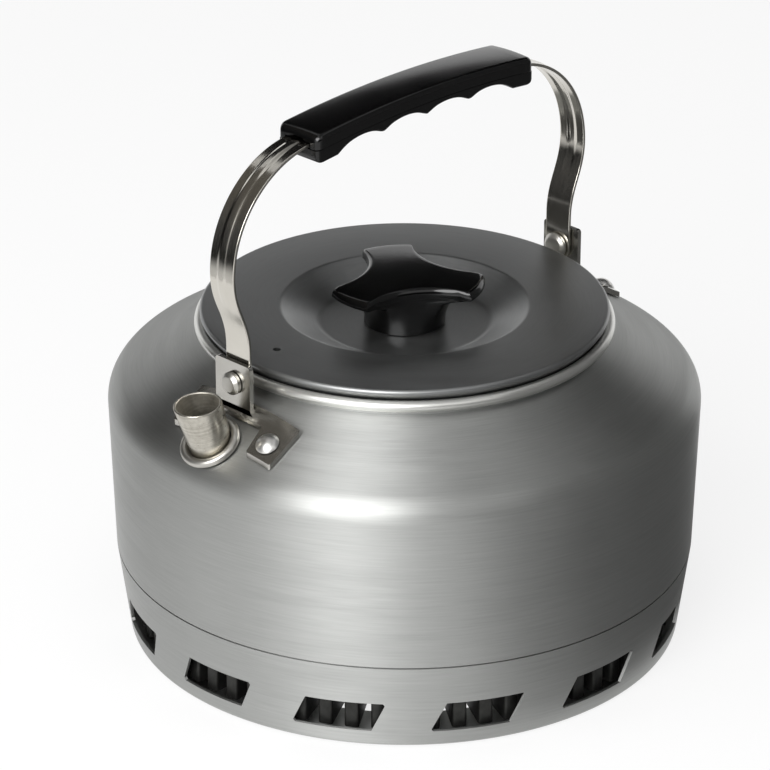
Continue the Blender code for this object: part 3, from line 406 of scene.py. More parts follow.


# Heat exchanger: a strip of raw aluminium, folded back and forth into a ring of deep
# pleats and brazed under the vessel's floor. It is dull, and its dark colour is painted
# shade, as it lies deep under the vessel inside the skirt.

def pleat_tree():
    """Fold a strip round the axis: out, along, in and along again for every pleat."""
    tree, sizes = group("fold_pleats", "Inner", "Outer", "Share", "Bend", "Thickness", "Low", "High",
                        Count="Int")
    corners = node(tree, "ShaderNodeMath", (sizes["Count"], 4.0), operation="MULTIPLY")
    circle = node(tree, "GeometryNodeCurvePrimitiveCircle", {"Resolution": corners})
    index = node(tree, "GeometryNodeInputIndex")
    quarter = node(tree, "ShaderNodeMath", (index, 4.0), operation="DIVIDE")
    pleat = node(tree, "ShaderNodeMath", {0: quarter}, operation="FLOOR")
    corner = node(tree, "ShaderNodeMath", (index, 4.0), operation="MODULO")
    late = node(tree, "ShaderNodeMath", (corner, 1.5), operation="GREATER_THAN")
    side = node(tree, "ShaderNodeMath", (late, 2.0, -1.0), operation="MULTIPLY_ADD")
    offset = node(tree, "ShaderNodeMath", (side, sizes["Share"]), operation="MULTIPLY")
    half = node(tree, "ShaderNodeMath", (offset, 0.5, pleat), operation="MULTIPLY_ADD")
    turns = node(tree, "ShaderNodeMath", (half, sizes["Count"]), operation="DIVIDE")
    angle = node(tree, "ShaderNodeMath", (turns, math.tau), operation="MULTIPLY")
    away = node(tree, "ShaderNodeMath", {
        0: node(tree, "ShaderNodeMath", (corner, 1.5), operation="SUBTRACT")}, operation="ABSOLUTE")
    inside = node(tree, "ShaderNodeMath", (away, 1.0), operation="GREATER_THAN")
    radius = node(tree, "ShaderNodeMix",
                  {0: inside, 2: sizes["Outer"], 3: sizes["Inner"]}, data_type="FLOAT").outputs[0]
    east = node(tree, "ShaderNodeMath", {0: angle}, operation="SINE")
    south = node(tree, "ShaderNodeMath", {0: angle}, operation="COSINE")
    back = node(tree, "ShaderNodeMath", (south, -1.0), operation="MULTIPLY")
    way = node(tree, "ShaderNodeCombineXYZ", (east, back))
    spot = node(tree, "ShaderNodeVectorMath", {0: way, "Scale": radius}, operation="SCALE")
    folded = node(tree, "GeometryNodeSetPosition", {"Geometry": circle, "Position": spot})
    soft = node(tree, "GeometryNodeFilletCurve",
                {"Curve": folded, "Radius": sizes["Bend"], "Count": 3}, mode="POLY")
    upright = node(tree, "GeometryNodeSetCurveNormal", {"Curve": soft}, mode="Z_UP")
    height = node(tree, "ShaderNodeMath", (sizes["High"], sizes["Low"]), operation="SUBTRACT")
    strip = node(tree, "GeometryNodeCurvePrimitiveQuadrilateral",
                 {"Width": sizes["Thickness"], "Height": height}, mode="RECTANGLE")
    wall = node(tree, "GeometryNodeCurveToMesh", {"Curve": upright, "Profile Curve": strip})
    middle = node(tree, "ShaderNodeMath", (height, 0.5, sizes["Low"]), operation="MULTIPLY_ADD")
    raised = node(tree, "GeometryNodeTransform", {
        "Geometry": wall, "Translation": node(tree, "ShaderNodeCombineXYZ", {2: middle})})
    close_group(tree, raised, sizes)
    return tree


# Painted shade darkens the raw metal, in cloudy patches of about 4 mm
raw_aluminium, tree, shader, place = surface("brazed_aluminium_painted_shade")
painted_shade_cloud = node(tree, "ShaderNodeTexNoise", {"Vector": place, "Scale": 260.0, "Detail": 4.0})
coat(tree, shader, painted_shade_cloud, "#1c1c1b", "#4a4a48", {"Metallic": 0.85, "Roughness": 0.45})

pleats = made_by("heat_exchanger_pleats", pleat_tree(), bpy.data.meshes.new("pleats"), {
    "Count": 65, "Inner": 0.0640, "Outer": 0.0830, "Share": 0.48, "Bend": 0.0006,
    "Thickness": 0.0006, "Low": 0.0044, "High": 0.0172, "Material": raw_aluminium})
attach(pleats, "kettle")
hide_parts("heat_exchanger_fins")


# Spout: a short piece of stainless tube, widened a little to its open mouth. It is
# satin finished, with fine turning rings inside, and its inner end is rolled out under
# the shoulder. It leans towards the pouring side.

def satin_steel(name, dark, light, roughness, ring_pitch, turn, centre):
    """Stainless steel with a satin, slightly mottled finish and fine turning rings."""
    material, tree, shader, place = surface(name)
    local = node(tree, "ShaderNodeMapping",
                 {"Vector": place, "Location": centre, "Rotation": turn}, vector_type="TEXTURE")
    height = node(tree, "ShaderNodeSeparateXYZ", {0: local}).outputs[2]
    rings = node(tree, "ShaderNodeTexNoise",
                 {"W": height, "Scale": 1 / ring_pitch, "Detail": 2.0}, noise_dimensions="1D")
    grain = node(tree, "ShaderNodeTexNoise", {"Vector": local, "Scale": 900.0, "Detail": 3.0})
    cloud = node(tree, "ShaderNodeTexNoise", {"Vector": local, "Scale": 160.0, "Detail": 2.0})
    both = node(tree, "ShaderNodeMath", (rings, grain), operation="ADD")
    blend = node(tree, "ShaderNodeMath", (cloud, 1.2, both), operation="MULTIPLY_ADD")
    tone = node(tree, "ShaderNodeMapRange", {"Value": blend, "From Min": 1.2, "From Max": 2.0})
    rough = node(tree, "ShaderNodeMapRange",
                 {"Value": grain, "To Min": roughness - 0.05, "To Max": roughness + 0.08})
    bump = node(tree, "ShaderNodeBump", {"Strength": 0.4, "Distance": 0.00004, "Height": both})
    coat(tree, shader, tone, dark, light, {"Metallic": 1.0}, rough, bump)
    return material


# Satin steel has a soft, mottled glow. The turned bore is duller, and its paler colour is
# painted light inside the tube. Real turning rings lie about 0.2 mm apart, and these are
# drawn wider so that they show.
spout_turn, spout_centre = (spout_lean, 0.0, 0.0), tuple(spout_frame.translation)
spout_steel = satin_steel("satin_stainless_tube", "#a4a096", "#c6c2b8", roughness=0.28,
                          ring_pitch=0.0007, turn=spout_turn, centre=spout_centre)
bore_steel_painted_light = satin_steel("turned_stainless_bore_painted_light", "#aca89e", "#cfcbc1", roughness=0.45,
                         ring_pitch=0.0012, turn=spout_turn, centre=spout_centre)
foot_radius, mouth_radius, tube_wall = 0.0064, 0.0071, 0.0008
tube_tail, tube_length, lip_reach, lip_round = -0.0018, 0.0152, 0.0005, 0.0004
spout_outline = arc((mouth_radius - tube_wall / 2, tube_length - tube_wall / 2), tube_wall / 2, 180, 0, 8)
spout_outline += [(foot_radius, 0.0), (foot_radius, tube_tail)]
spout_outline += arc((foot_radius + lip_reach, tube_tail - lip_round), lip_round, 90, -90, 6)
spout_outline += [(foot_radius - tube_wall, tube_tail - 2 * lip_round), (foot_radius - tube_wall, 0.0)]
spout = turned("spout_tube", spout_outline, 96, spout_steel, closed=True)
spout.data.materials.append(bore_steel_painted_light)
# The inner faces take the bore steel, whose paler colour is painted light
for face in spout.data.polygons:
    if face.normal.x * face.center.x + face.normal.y * face.center.y < -0.001:
        face.material_index = 1
foot_slant = math.tan(shoulder_tilt - spout_lean)
mouth_slant = -math.tan(math.radians(12))
for vertex in spout.data.vertices:
    share = min(max(vertex.co.z / tube_length, 0.0), 1.0)
    vertex.co.z += vertex.co.y * (foot_slant + (mouth_slant - foot_slant) * share)
spout.data.transform(spout_frame)
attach(spout, "kettle")
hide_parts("spout")


# Collar: a rolled ring of bright stainless steel that seals the spout's foot against
# the shoulder. It is polished, so it shows one bright line all the way round.

def worked_steel(name, dark, light, stretch, fine, detail, coarse, roughness, relief=None):
    """Stainless steel with fine marks, stretched along the work, and soft smears."""
    material, tree, shader, place = surface(name)
    worked = node(tree, "ShaderNodeMapping", {"Vector": place, "Scale": stretch})
    marks = node(tree, "ShaderNodeTexNoise", {"Vector": worked, "Scale": fine, "Detail": detail})
    smear = node(tree, "ShaderNodeTexNoise", {"Vector": place, "Scale": coarse, "Detail": 2.0})
    low, high = roughness
    rough = node(tree, "ShaderNodeMapRange", {"Value": marks, "To Min": low, "To Max": high})
    bump = None
    if relief:
        strength, depth = relief
        bump = node(tree, "ShaderNodeBump", {"Strength": strength, "Distance": depth, "Height": marks})
    coat(tree, shader, smear, dark, light, {"Metallic": 1.0}, rough, bump)
    return material


# Fine scratches of use keep the polish from being a mirror. They are drawn 0.7 mm wide,
# coarser than real ones, so that they show, and the smears are about 8 mm.
polished = worked_steel("polished_stainless", "#a9a7a1", "#cfcdc7", stretch=(1.0, 1.0, 1.0),
                        fine=1400.0, detail=2.0, coarse=120.0, roughness=(0.26, 0.42))

# Pieces that are pressed together are drawn this far apart, as they are in the CAD part
seat = 0.0003
collar_in, collar_out, collar_top = 0.0067, 0.0094, 0.0020
half_bead = (collar_out - collar_in) / 2
collar_outline = [(collar_in, seat), (collar_in, collar_top - half_bead)]
collar_outline += arc((collar_in + half_bead, collar_top - half_bead), half_bead, 180, 0, 14)
collar_outline += [(collar_out, seat)]
collar = turned("spout_collar_rolled", collar_outline, 96, polished, closed=True,
                place=on_shoulder(0.0, -spout_reach))
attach(collar, "kettle")
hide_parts("spout_collar")


# Bail brackets: each is stamped from one stainless plate and folded. Two tabs lie on
# the shoulder and take a rivet each, and the ear stands up to carry the bail. One tab
# is shorter, so that the front bracket clears the spout; the rear one is the same part.

# Rolled plate is bright, with faint lines along the rolling direction. They are drawn
# 6 mm long and 0.4 mm wide, which is coarser than real ones.
plate_steel = worked_steel("rolled_stainless_plate", "#adaba6", "#c3c1bb", stretch=(1.0, 14.0, 14.0),
                           fine=160.0, detail=3.0, coarse=110.0, roughness=(0.15, 0.22),
                           relief=(0.1, 0.000004))

plate, outer_bend, inner_bend, worn_edge = 0.0015, 0.0019, 0.0005, 0.00022
ear_face, ear_half, ear_top, ear_corner, ear_offset = 0.0719, 0.00715, 0.1094, 0.0010, 0.0004


def skin(name, sections, material):
    """Close a row of sections with the same number of points into one body."""
    mesh = bpy.data.meshes.new(name)
    count = len(sections[0])
    faces = [tuple(range(count))[::-1], tuple(range((len(sections) - 1) * count, len(sections) * count))]
    for row in range(len(sections) - 1):
        for i in range(count):
            j = (i + 1) % count
            low, high = row * count, (row + 1) * count
            faces.append((low + i, low + j, high + j, high + i))
    mesh.from_pydata([point for section in sections for point in section], [], faces)
    mesh.materials.append(material)
    return piece(name, mesh)


def bracket(name):
    """Tabs that follow the shoulder, joined to the folded ear."""
    outline = [(-0.0174, 0.0682), (0.0238, 0.0682), (0.0236, 0.0806), (0.0140, 0.0808),
               (0.0125, 0.0727), (-0.0100, 0.0727), (-0.0114, 0.0804), (-0.0174, 0.0804)]
    outline = rounded(outline, [0.0008, 0.0006, 0.0007, 0.0006, 0.0008, 0.0008, 0.0006, 0.0010],
                      4, closed=True)
    bm = bmesh.new()
    bm.faces.new([bm.verts.new((x, y, 0.0)) for x, y in outline])
    cuts = [((0.0, y / 1000, 0.0), (0.0, 1.0, 0.0)) for y in range(70, 80, 2)]
    cuts += [((x / 1000, 0.0, 0.0), (1.0, 0.0, 0.0)) for x in range(-16, 23, 2)]
    for spot, normal in cuts:
        every = bm.verts[:] + bm.edges[:] + bm.faces[:]
        bmesh.ops.bisect_plane(bm, geom=every, plane_co=spot, plane_no=normal, dist=1e-7)
    raised = bmesh.ops.extrude_face_region(bm, geom=bm.faces[:])
    upper = {v for v in raised["geom"] if isinstance(v, bmesh.types.BMVert)}
    for v in bm.verts:
        lift = (seat + (plate if v in upper else 0.0)) / math.cos(shoulder_tilt)
        v.co = (v.co.x, -v.co.y, shoulder_height(math.hypot(v.co.x, v.co.y)) + lift)
    mesh = bpy.data.meshes.new(name)
    bm.to_mesh(mesh)
    bm.free()
    mesh.materials.append(plate_steel)
    tabs = piece(name, mesh)

    gap, raise_by, foot = seat / math.cos(shoulder_tilt), plate / math.cos(shoulder_tilt), 0.0690
    fold, inner_foot = shoulder_height(ear_face) + gap, (-foot, shoulder_height(foot) + gap)
    stations = [-ear_half + ear_corner * (1 - math.cos(math.radians(15 * i))) for i in range(7)]
    stations += [-x for x in reversed(stations)]
    sections = []
    for x in stations:
        over = max(abs(x) - (ear_half - ear_corner), 0.0)
        top = ear_top - ear_corner + math.sqrt(max(ear_corner ** 2 - over ** 2, 0.0))
        outer = rounded([inner_foot, (-ear_face, fold), (-ear_face, top)], [0, outer_bend, 0], 6)
        outer.insert(-1, (-ear_face, fold + 0.0016))
        inner = rounded([(-ear_face + plate, top),
                         (-ear_face + plate, shoulder_height(ear_face - plate) + raise_by),
                         (inner_foot[0], inner_foot[1] + raise_by)], [0, inner_bend, 0], 3)
        sections.append([(x - ear_offset, y, z) for y, z in outer + inner])
    ear = skin(name + "_ear", sections, plate_steel)
    join = tabs.modifiers.new("weld", "BOOLEAN")
    join.operation = "UNION"
    join.solver = "EXACT"
    join.object = ear
    soften = tabs.modifiers.new("soften", "BEVEL")
    soften.width = worn_edge
    soften.segments = 2
    soften.limit_method = "ANGLE"
    soften.angle_limit = math.radians(50)
    mesh = baked(tabs)
    bpy.data.objects.remove(tabs)
    bpy.data.objects.remove(ear)
    return mesh


both_ends = (("front", 0.0), ("rear", math.pi))
for end, turn in both_ends:
    mesh = bracket("bracket")
    holder = piece("bracket_" + end + "_folded", mesh, Matrix.Rotation(turn, 4, "Z"), sharp=50)
    flattened(holder)
    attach(holder, "kettle")
    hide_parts("bracket_" + end)


# Rivets: solid rivets of zinc-plated steel, with a low domed head outside and a tail
# that is swollen under the sheet.

def set_in_tree():
    """Set one fastener on every point, along the direction stored there."""
    tree, sizes = group("set_fasteners", Fastener="Object")
    shape = node(tree, "GeometryNodeObjectInfo",
                 {"Object": sizes["Fastener"]}, transform_space="ORIGINAL")
    way = node(tree, "GeometryNodeInputNamedAttribute", {"Name": "way"}, data_type="FLOAT_VECTOR")
    turn = node(tree, "FunctionNodeAlignRotationToVector", {"Vector": way.outputs["Attribute"]}, axis="Z")
    placed = node(tree, "GeometryNodeInstanceOnPoints",
                  {"Points": sizes["Geometry"], "Instance": shape.outputs["Geometry"], "Rotation": turn})
    close_group(tree, placed, sizes)
    return tree


set_in = set_in_tree()


def fastened(name, fastener, places, material):
    """One piece with a fastener at each place."""
    mesh = bpy.data.meshes.new(name)
    mesh.from_pydata([place.translation for place in places], [], [])
    way = mesh.attributes.new("way", "FLOAT_VECTOR", "POINT")
    for i, place in enumerate(places):
        way.data[i].vector = place.to_3x3() @ Vector((0, 0, 1))
    return made_by(name, set_in, mesh, {"Fastener": fastener, "Material": material})


# Zinc plating is pale and soft in its shine. Its spangle is drawn at 1.4 mm, as a finer
# one would not show on these small heads.
zinc, tree, shader, place = surface("zinc_plated_steel")
spangle = node(tree, "ShaderNodeTexNoise", {"Vector": place, "Scale": 700.0, "Detail": 3.0})
bump = node(tree, "ShaderNodeBump", {"Strength": 0.1, "Distance": 0.000006, "Height": spangle})
coat(tree, shader, spangle, "#c4c3c0", "#e2e1de", {"Metallic": 1.0, "Roughness": 0.32}, None, bump)

head_radius, head_height, shank = 0.0036, 0.0018, 0.0015
tail_radius, tail_top, tail_low, tail_round = 0.0026, -0.0015, -0.0025, 0.0006
head_seat = plate + 2 * seat
dome_radius = (head_radius ** 2 + head_height ** 2) / (2 * head_height)
dome_edge = math.degrees(math.asin(head_radius / dome_radius))
dome = arc((0.0, head_seat + head_height - dome_radius), dome_radius, 90, 90 - dome_edge, 12)
rivet_outline = [(0.0, dome[0][1])] + dome[1:]
rivet_outline += [(shank, head_seat), (shank, tail_top), (tail_radius, tail_top)]
rivet_outline += arc((tail_radius - tail_round, tail_low + tail_round), tail_round, 0, -90, 5)
rivet_outline += [(0.0, tail_low)]
rivet = turned("rivet", rivet_outline, 40, zinc)
rivet_spots = [(-0.0137, -0.0752), (0.0180, -0.0752), (-0.0180, 0.0752), (0.0137, 0.0752)]
rivets = fastened("bracket_rivets_set", rivet, [on_shoulder(x, y) for x, y in rivet_spots], zinc)
bpy.data.objects.remove(rivet)
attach(rivets, "kettle")
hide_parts("bracket_rivet_front_left", "bracket_rivet_front_right",
            "bracket_rivet_rear_left", "bracket_rivet_rear_right")


# Hinge pins: stainless rivets through ear and bail. The outer head is a low cone with
# a flat top, the inner one is wider and slightly domed where it was hammered.

hinge_height = 0.1028
pin_head = ear_face + seat
pin_tail = ear_face - plate - 0.0010 - 2 * seat
pin_top, pin_shank, pin_wide, pin_tail_wide = pin_head + 0.0021, 0.0019, 0.0035, 0.0042
pin_outline = rounded(
    [(0.0, pin_top), (0.0024, pin_top), (pin_wide, pin_top - 0.0010),
     (pin_wide, pin_head), (pin_shank, pin_head), (pin_shank, pin_tail), (pin_tail_wide, pin_tail),
     (pin_tail_wide, pin_tail - 0.0010), (0.0030, pin_tail - 0.0018), (0.0, pin_tail - 0.0019)],
    [0, 0.0004, 0.0004, 0, 0, 0, 0.0002, 0.0005, 0.0012, 0], 4)
for end, turn in both_ends:
    axis = (Matrix.Rotation(turn, 4, "Z") @ Matrix.Translation((0.0, 0.0, hinge_height))
            @ Matrix.Rotation(math.pi / 2, 4, "X"))
    pin = turned("hinge_pin_" + end, pin_outline, 48, polished, place=axis)
    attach(pin, "kettle")
    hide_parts("pivot_rivet_" + end)


# Bail: a flat stainless bar with one pressed rib for stiffness, bent to a bow and
# polished along its length. The rib runs out in a round end above each hinge.

def strip_tree():
    """Sweep a flat bar along a path, press its rib outwards and round its ends."""
    tree, sizes = group("ribbed_bar", "Width", "Rib Width", "Rib Height", "Rib End", "Hinge",
                        Section="Object")
    path = node(tree, "GeometryNodeMeshToCurve", {0: sizes["Geometry"]})
    upright = node(tree, "GeometryNodeSetCurveNormal", {"Curve": path}, mode="MINIMUM_TWIST")
    tangent = node(tree, "GeometryNodeInputTangent")
    outward = node(tree, "ShaderNodeVectorMath", (tangent, (1.0, 0.0, 0.0)), operation="CROSS_PRODUCT")
    kept = node(tree, "GeometryNodeCaptureAttribute", {"Geometry": upright}, domain="POINT")
    kept.capture_items.new("VECTOR", "Outward")
    kept.capture_items.new("VECTOR", "Centre")
    tree.links.new(outward.outputs[0], kept.inputs["Outward"])
    tree.links.new(node(tree, "GeometryNodeInputPosition").outputs[0], kept.inputs["Centre"])
    section = node(tree, "GeometryNodeObjectInfo",
                   {"Object": sizes["Section"]}, transform_space="ORIGINAL")
    profile = node(tree, "GeometryNodeMeshToCurve", {0: section.outputs["Geometry"]})
    swept = node(tree, "GeometryNodeCurveToMesh",
                 {"Curve": kept.outputs["Geometry"], "Profile Curve": profile, "Fill Caps": True})
    here = node(tree, "GeometryNodeInputPosition")
    aside = node(tree, "ShaderNodeVectorMath", (here, kept.outputs["Centre"]), operation="SUBTRACT")
    lift = node(tree, "ShaderNodeVectorMath",
                (aside, kept.outputs["Outward"]), operation="DOT_PRODUCT").outputs["Value"]
    parts = node(tree, "ShaderNodeSeparateXYZ", {0: here})
    across = parts.outputs[0]
    level = node(tree, "ShaderNodeSeparateXYZ", {0: kept.outputs["Centre"]}).outputs[2]
    # Distance from the rib's middle line, or from its round end further down
    below = node(tree, "ShaderNodeMath", (
        node(tree, "ShaderNodeMath", (sizes["Rib End"], level), operation="SUBTRACT"),
        0.0), operation="MAXIMUM")
    gap = node(tree, "ShaderNodeVectorMath", {
        0: node(tree, "ShaderNodeCombineXYZ", (across, below))}, operation="LENGTH").outputs["Value"]
    half_rib = node(tree, "ShaderNodeMath", (sizes["Rib Width"], 0.5), operation="MULTIPLY")
    share = node(tree, "ShaderNodeMath", (gap, half_rib), operation="DIVIDE")
    bulge = node(tree, "ShaderNodeMapRange",
                 {"Value": share, "From Min": 0.30, "From Max": 1.0, "To Min": 1.0, "To Max": 0.0},
                 interpolation_type="SMOOTHSTEP")
    # The rib fades out softly over its last centimetre
    faded = node(tree, "ShaderNodeMapRange", {
        "Value": level, "From Min": sizes["Rib End"],
        "From Max": node(tree, "ShaderNodeMath", (sizes["Rib End"], 0.011), operation="ADD")},
        interpolation_type="SMOOTHSTEP")
    raised = node(tree, "ShaderNodeMath", (bulge, faded), operation="MULTIPLY")
    height = node(tree, "ShaderNodeMath", (raised, sizes["Rib Height"]), operation="MULTIPLY")
    # Round end below the hinge: the bar narrows as a half circle
    half = node(tree, "ShaderNodeMath", (sizes["Width"], 0.5), operation="MULTIPLY")
    under = node(tree, "ShaderNodeMath", (
        node(tree, "ShaderNodeMath", (sizes["Hinge"], level), operation="SUBTRACT"),
        0.0), operation="MAXIMUM")
    ratio = node(tree, "ShaderNodeMath", (under, half), operation="DIVIDE")
    square = node(tree, "ShaderNodeMath", (ratio, 2.0), operation="POWER")
    rest = node(tree, "ShaderNodeMath", (1.0, square), operation="SUBTRACT")
    narrow = node(tree, "ShaderNodeMath", {
        0: node(tree, "ShaderNodeMath", (rest, 0.0), operation="MAXIMUM")}, operation="SQRT")
    shift = node(tree, "ShaderNodeMath", (
        across, node(tree, "ShaderNodeMath", (narrow, 1.0), operation="SUBTRACT")),
        operation="MULTIPLY")
    rise = node(tree, "ShaderNodeVectorMath",
                {0: kept.outputs["Outward"], "Scale": height}, operation="SCALE")
    pull = node(tree, "ShaderNodeVectorMath", (
        rise, node(tree, "ShaderNodeCombineXYZ", {0: shift})), operation="ADD")
    pressed = node(tree, "GeometryNodeSetPosition", {"Geometry": swept, "Offset": pull})
    close_group(tree, pressed, sizes)
    return tree


def bezier(start, start_handle, end_handle, end, segments):
    """Points on one cubic curve, its first point left out."""
    points = []
    for i in range(1, segments + 1):
        t = i / segments
        weights = ((1 - t) ** 3, 3 * t * (1 - t) ** 2, 3 * t ** 2 * (1 - t), t ** 3)
        knots = (start, start_handle, end_handle, end)
        points.append(tuple(sum(w * k[axis] for w, k in zip(weights, knots)) for axis in (0, 1)))
    return points


strip_width, strip_thickness = 0.0098, 0.0010
crown_half, crown, crown_drop, leg_top = 0.0452, 0.1730, 0.0024, 0.1130


def crown_height(y):
    """Height of the bar's middle inside the grip."""
    return crown - crown_drop * (y / crown_half) ** 2


def bar_path():
    """Middle line of the bar, from one hinge over the grip to the other."""
    leg_y = ear_face - plate - seat - strip_thickness / 2
    half = strip_width / 2
    leg = [(leg_y, hinge_height - half * math.sin(math.radians(a)))
           for a in (88, 80, 70, 60, 48, 36, 24, 12)]
    leg += [(leg_y, hinge_height + (leg_top - hinge_height) * i / 8) for i in range(9)]
    start, wide = (leg_y, leg_top), (0.0755, 0.1375)
    rise = wide[1] - start[1]
    entry = (crown_half, crown_height(crown_half))
    slope = 2 * crown_drop / crown_half
    reach = 0.56 * (wide[0] - crown_half)
    leg += bezier(start, (leg_y, start[1] + rise * 0.42), (wide[0], wide[1] - rise * 0.42), wide, 40)
    leg += bezier(wide, (wide[0], wide[1] + (entry[1] - wide[1]) * 0.52),
                  (entry[0] + reach, entry[1] - slope * reach), entry, 90)
    leg += [(crown_half * (1 - i / 12), crown_height(crown_half * (1 - i / 12))) for i in range(1, 12)]
    return leg + [(0.0, crown)] + [(-y, z) for y, z in reversed(leg)]


# The bar is polished along its length, so it mirrors the room in long streaks. They are
# drawn 14 mm long and 0.5 mm wide, coarser than the real polish, so that they show.
bar_steel = worked_steel("polished_stainless_bar", "#c3bfb6", "#d8d5cd", stretch=(30.0, 1.0, 1.0),
                         fine=70.0, detail=3.0, coarse=60.0, roughness=(0.09, 0.20),
                         relief=(0.25, 0.00002))

half, skin_line, edge = strip_width / 2, strip_thickness / 2, 0.00025
corners = [(half, skin_line), (-half, skin_line), (-half, -skin_line), (half, -skin_line)]
outline = rounded(corners, [edge] * 4, 3, closed=True)
# Only the two broad sides need many points, to carry the rib
fine = []
for start, end in zip(outline, outline[1:] + outline[:1]):
    count = 38 if abs(end[0] - start[0]) > half else 1
    fine += [tuple(Vector(start).lerp(Vector(end), i / count)) for i in range(count)]
section = added("bar_section", chain([(x, y, 0.0) for x, y in fine], True))
strip = made_by("bail_bar_ribbed", strip_tree(), chain([(0.0, y, z) for y, z in bar_path()]), {
    "Section": section, "Width": strip_width, "Rib Width": 0.0044, "Rib Height": 0.00035,
    "Rib End": 0.1250, "Hinge": hinge_height, "Material": bar_steel})
bpy.data.objects.remove(section)
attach(strip, "bail")
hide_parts("bail_strip")


# Grip: two injection mouldings in black ABS, clamped over the bar. The cover is smooth
# and glossy with softly rounded edges, and the base has four finger hollows below.

def moulded(name, colour, roughness, grain_size, depth):
    """Black plastic from a polished mould, with the faint orange peel of a moulding."""
    material, tree, shader, place = surface(name)
    peel = node(tree, "ShaderNodeTexNoise", {"Vector": place, "Scale": 1 / grain_size, "Detail": 2.0})
    flow = node(tree, "ShaderNodeTexNoise", {"Vector": place, "Scale": 45.0, "Detail": 2.0})
    rough = node(tree, "ShaderNodeMapRange",
                 {"Value": flow, "To Min": roughness - 0.04, "To Max": roughness + 0.05})
    bump = node(tree, "ShaderNodeBump", {"Strength": 0.3, "Distance": depth, "Height": peel})
    coat(tree, shader, flow, colour, "#060606", {"IOR": 1.53, "Specular IOR Level": 0.42}, rough, bump)
    return material


# Glossy ABS is near black, with soft highlights and an orange peel of 1.2 mm
grip_black = moulded("glossy_black_abs", "#030303", roughness=0.17, grain_size=0.0012, depth=0.00002)
grip_half, grip_shift, grip_width, parting = 0.0462, 0.0014, 0.0170, 0.0008
cover_height, cover_edge, cover_end, base_end, base_corner = 0.0036, 0.0016, 0.0026, 0.0028, 0.0016
groove_low, groove_high, groove_rise, cover_swell = 0.0027, 0.0019, 0.0009, 0.0003


def drawn_in(y, radius):
    """How far the grip's outline draws in near its ends, which are rounded to a radius."""
    beyond = max(radius - grip_half + abs(y), 0.0)
    return radius - math.sqrt(max(radius ** 2 - beyond ** 2, 0.0))


def along_grip(radius, count):
    """Places along the grip for its sections, close together in its rounded ends."""
    half = [grip_half - radius * (1 - math.cos(math.radians(a))) for a in (8, 20, 33, 46, 59, 73, 90)]
    half += [(grip_half - radius) * (1 - i / count) for i in range(1, count)]
    return half + [0.0] + [-y for y in reversed(half)]


def on_bar(y, line):
    """A section of the grip at its own length coordinate, set on the bar."""
    place = y + grip_shift
    return [(x, place, crown_height(place) + v) for x, v in line]


def cover_section(y):
    """Cover at one place: flat underside with the bar's channel, rounded top edges."""
    shrink = drawn_in(y, cover_end)
    half = grip_width / 2 - shrink * 0.8
    top = cover_height - shrink * 0.7
    bed, roof = strip_thickness / 2 + seat, strip_thickness / 2 + groove_rise + seat
    edge = min(cover_edge, top - bed)
    channel = strip_width / 2 + seat
    side = [(half, -parting)] + [(half, -parting + (top - edge + parting) * t) for t in (0.33, 0.66)]
    side += arc((half - edge, top - edge), edge, 0, 90, 8)
    side += [((half - edge) * (1 - t), top + cover_swell * (1 - (1 - t) ** 2)) for t in (0.3, 0.65)]
    line = [(channel, -parting)] + side + [(0.0, top + cover_swell)]
    line += [(-x, v) for x, v in reversed(side)] + [(-channel, -parting)]
    line += [(-channel, bed), (-groove_low, bed), (-groove_high, roof), (groove_high, roof),
             (groove_low, bed), (channel, bed)]
    return on_bar(y, line)


cover = skin("grip_cover_moulded", [cover_section(y) for y in along_grip(cover_end, 14)], grip_black)

pitch, hollow, cusp, lobe = 0.0184, 0.0024, 0.0050, 0.0054
cusp_reach, cusp_soften = 0.0012, 0.18


def hollow_depth(y):
    """Depth of the base below the bar's middle, with its four finger hollows."""
    radius = ((pitch / 2) ** 2 + hollow ** 2) / (2 * hollow)
    reach = min(min(abs(y - k * pitch / 2) for k in (-3, -1, 1, 3)), radius * 0.9)
    sag = radius - math.sqrt(radius ** 2 - reach ** 2)
    depth = cusp - hollow + sag
    tip = max(reach - pitch / 2 + cusp_reach, 0.0) if abs(y) < 2 * pitch - 0.001 else 0.0
    return min(depth - tip * cusp_soften, lobe) - drawn_in(y, base_end) * 0.8


def base_section(y):
    """Base at one place, with softly rounded lower edges."""
    half = grip_width / 2 - seat - drawn_in(y, base_corner) * 0.8
    top = -parting - seat
    low = -hollow_depth(y)
    edge = min(0.0009, (top - low) * 0.4)
    side = [(half, top)] + [(half - edge + x, low + edge + v) for x, v in arc((0, 0), edge, 0, -90, 8)]
    return on_bar(y, side + [(-x, v) for x, v in reversed(side)])


base = skin("grip_base_moulded", [base_section(y) for y in along_grip(base_end, 60)], grip_black)
for part, cad in ((cover, "grip_cover"), (base, "grip_base")):
    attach(part, "bail")
    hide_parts(cad)


# Grip screws: two small zinc-plated tapping screws with cross recesses, driven from
# below through the base and the bar into the cover.

def screw_shape(name, point, taper, core, head_at, head, steps, cross, depth):
    """A turned screw, its head down with a cross recess; head is radius, height, edge, facets."""
    radius, height, edge, facets = head
    low = head_at - height
    outline = [(0.0, point), (0.0006, point), (core, point - taper), (core, head_at), (radius, head_at)]
    outline += arc((radius - edge, low + edge), edge, 0, -90, facets) + [(0.0, low)]
    screw = turned(name, outline, steps, zinc)
    tools = []
    for size in ((cross, cross * 0.22), (cross * 0.22, cross)):
        mesh = bpy.data.meshes.new("recess")
        bm = bmesh.new()
        bmesh.ops.create_cube(bm, size=1.0)
        bmesh.ops.scale(bm, vec=(size[0], size[1], depth * 2), verts=bm.verts)
        bmesh.ops.translate(bm, vec=(0.0, 0.0, low), verts=bm.verts)
        bm.to_mesh(mesh)
        bm.free()
        tools.append(piece("recess", mesh))
    cut(screw, *tools)
    return screw


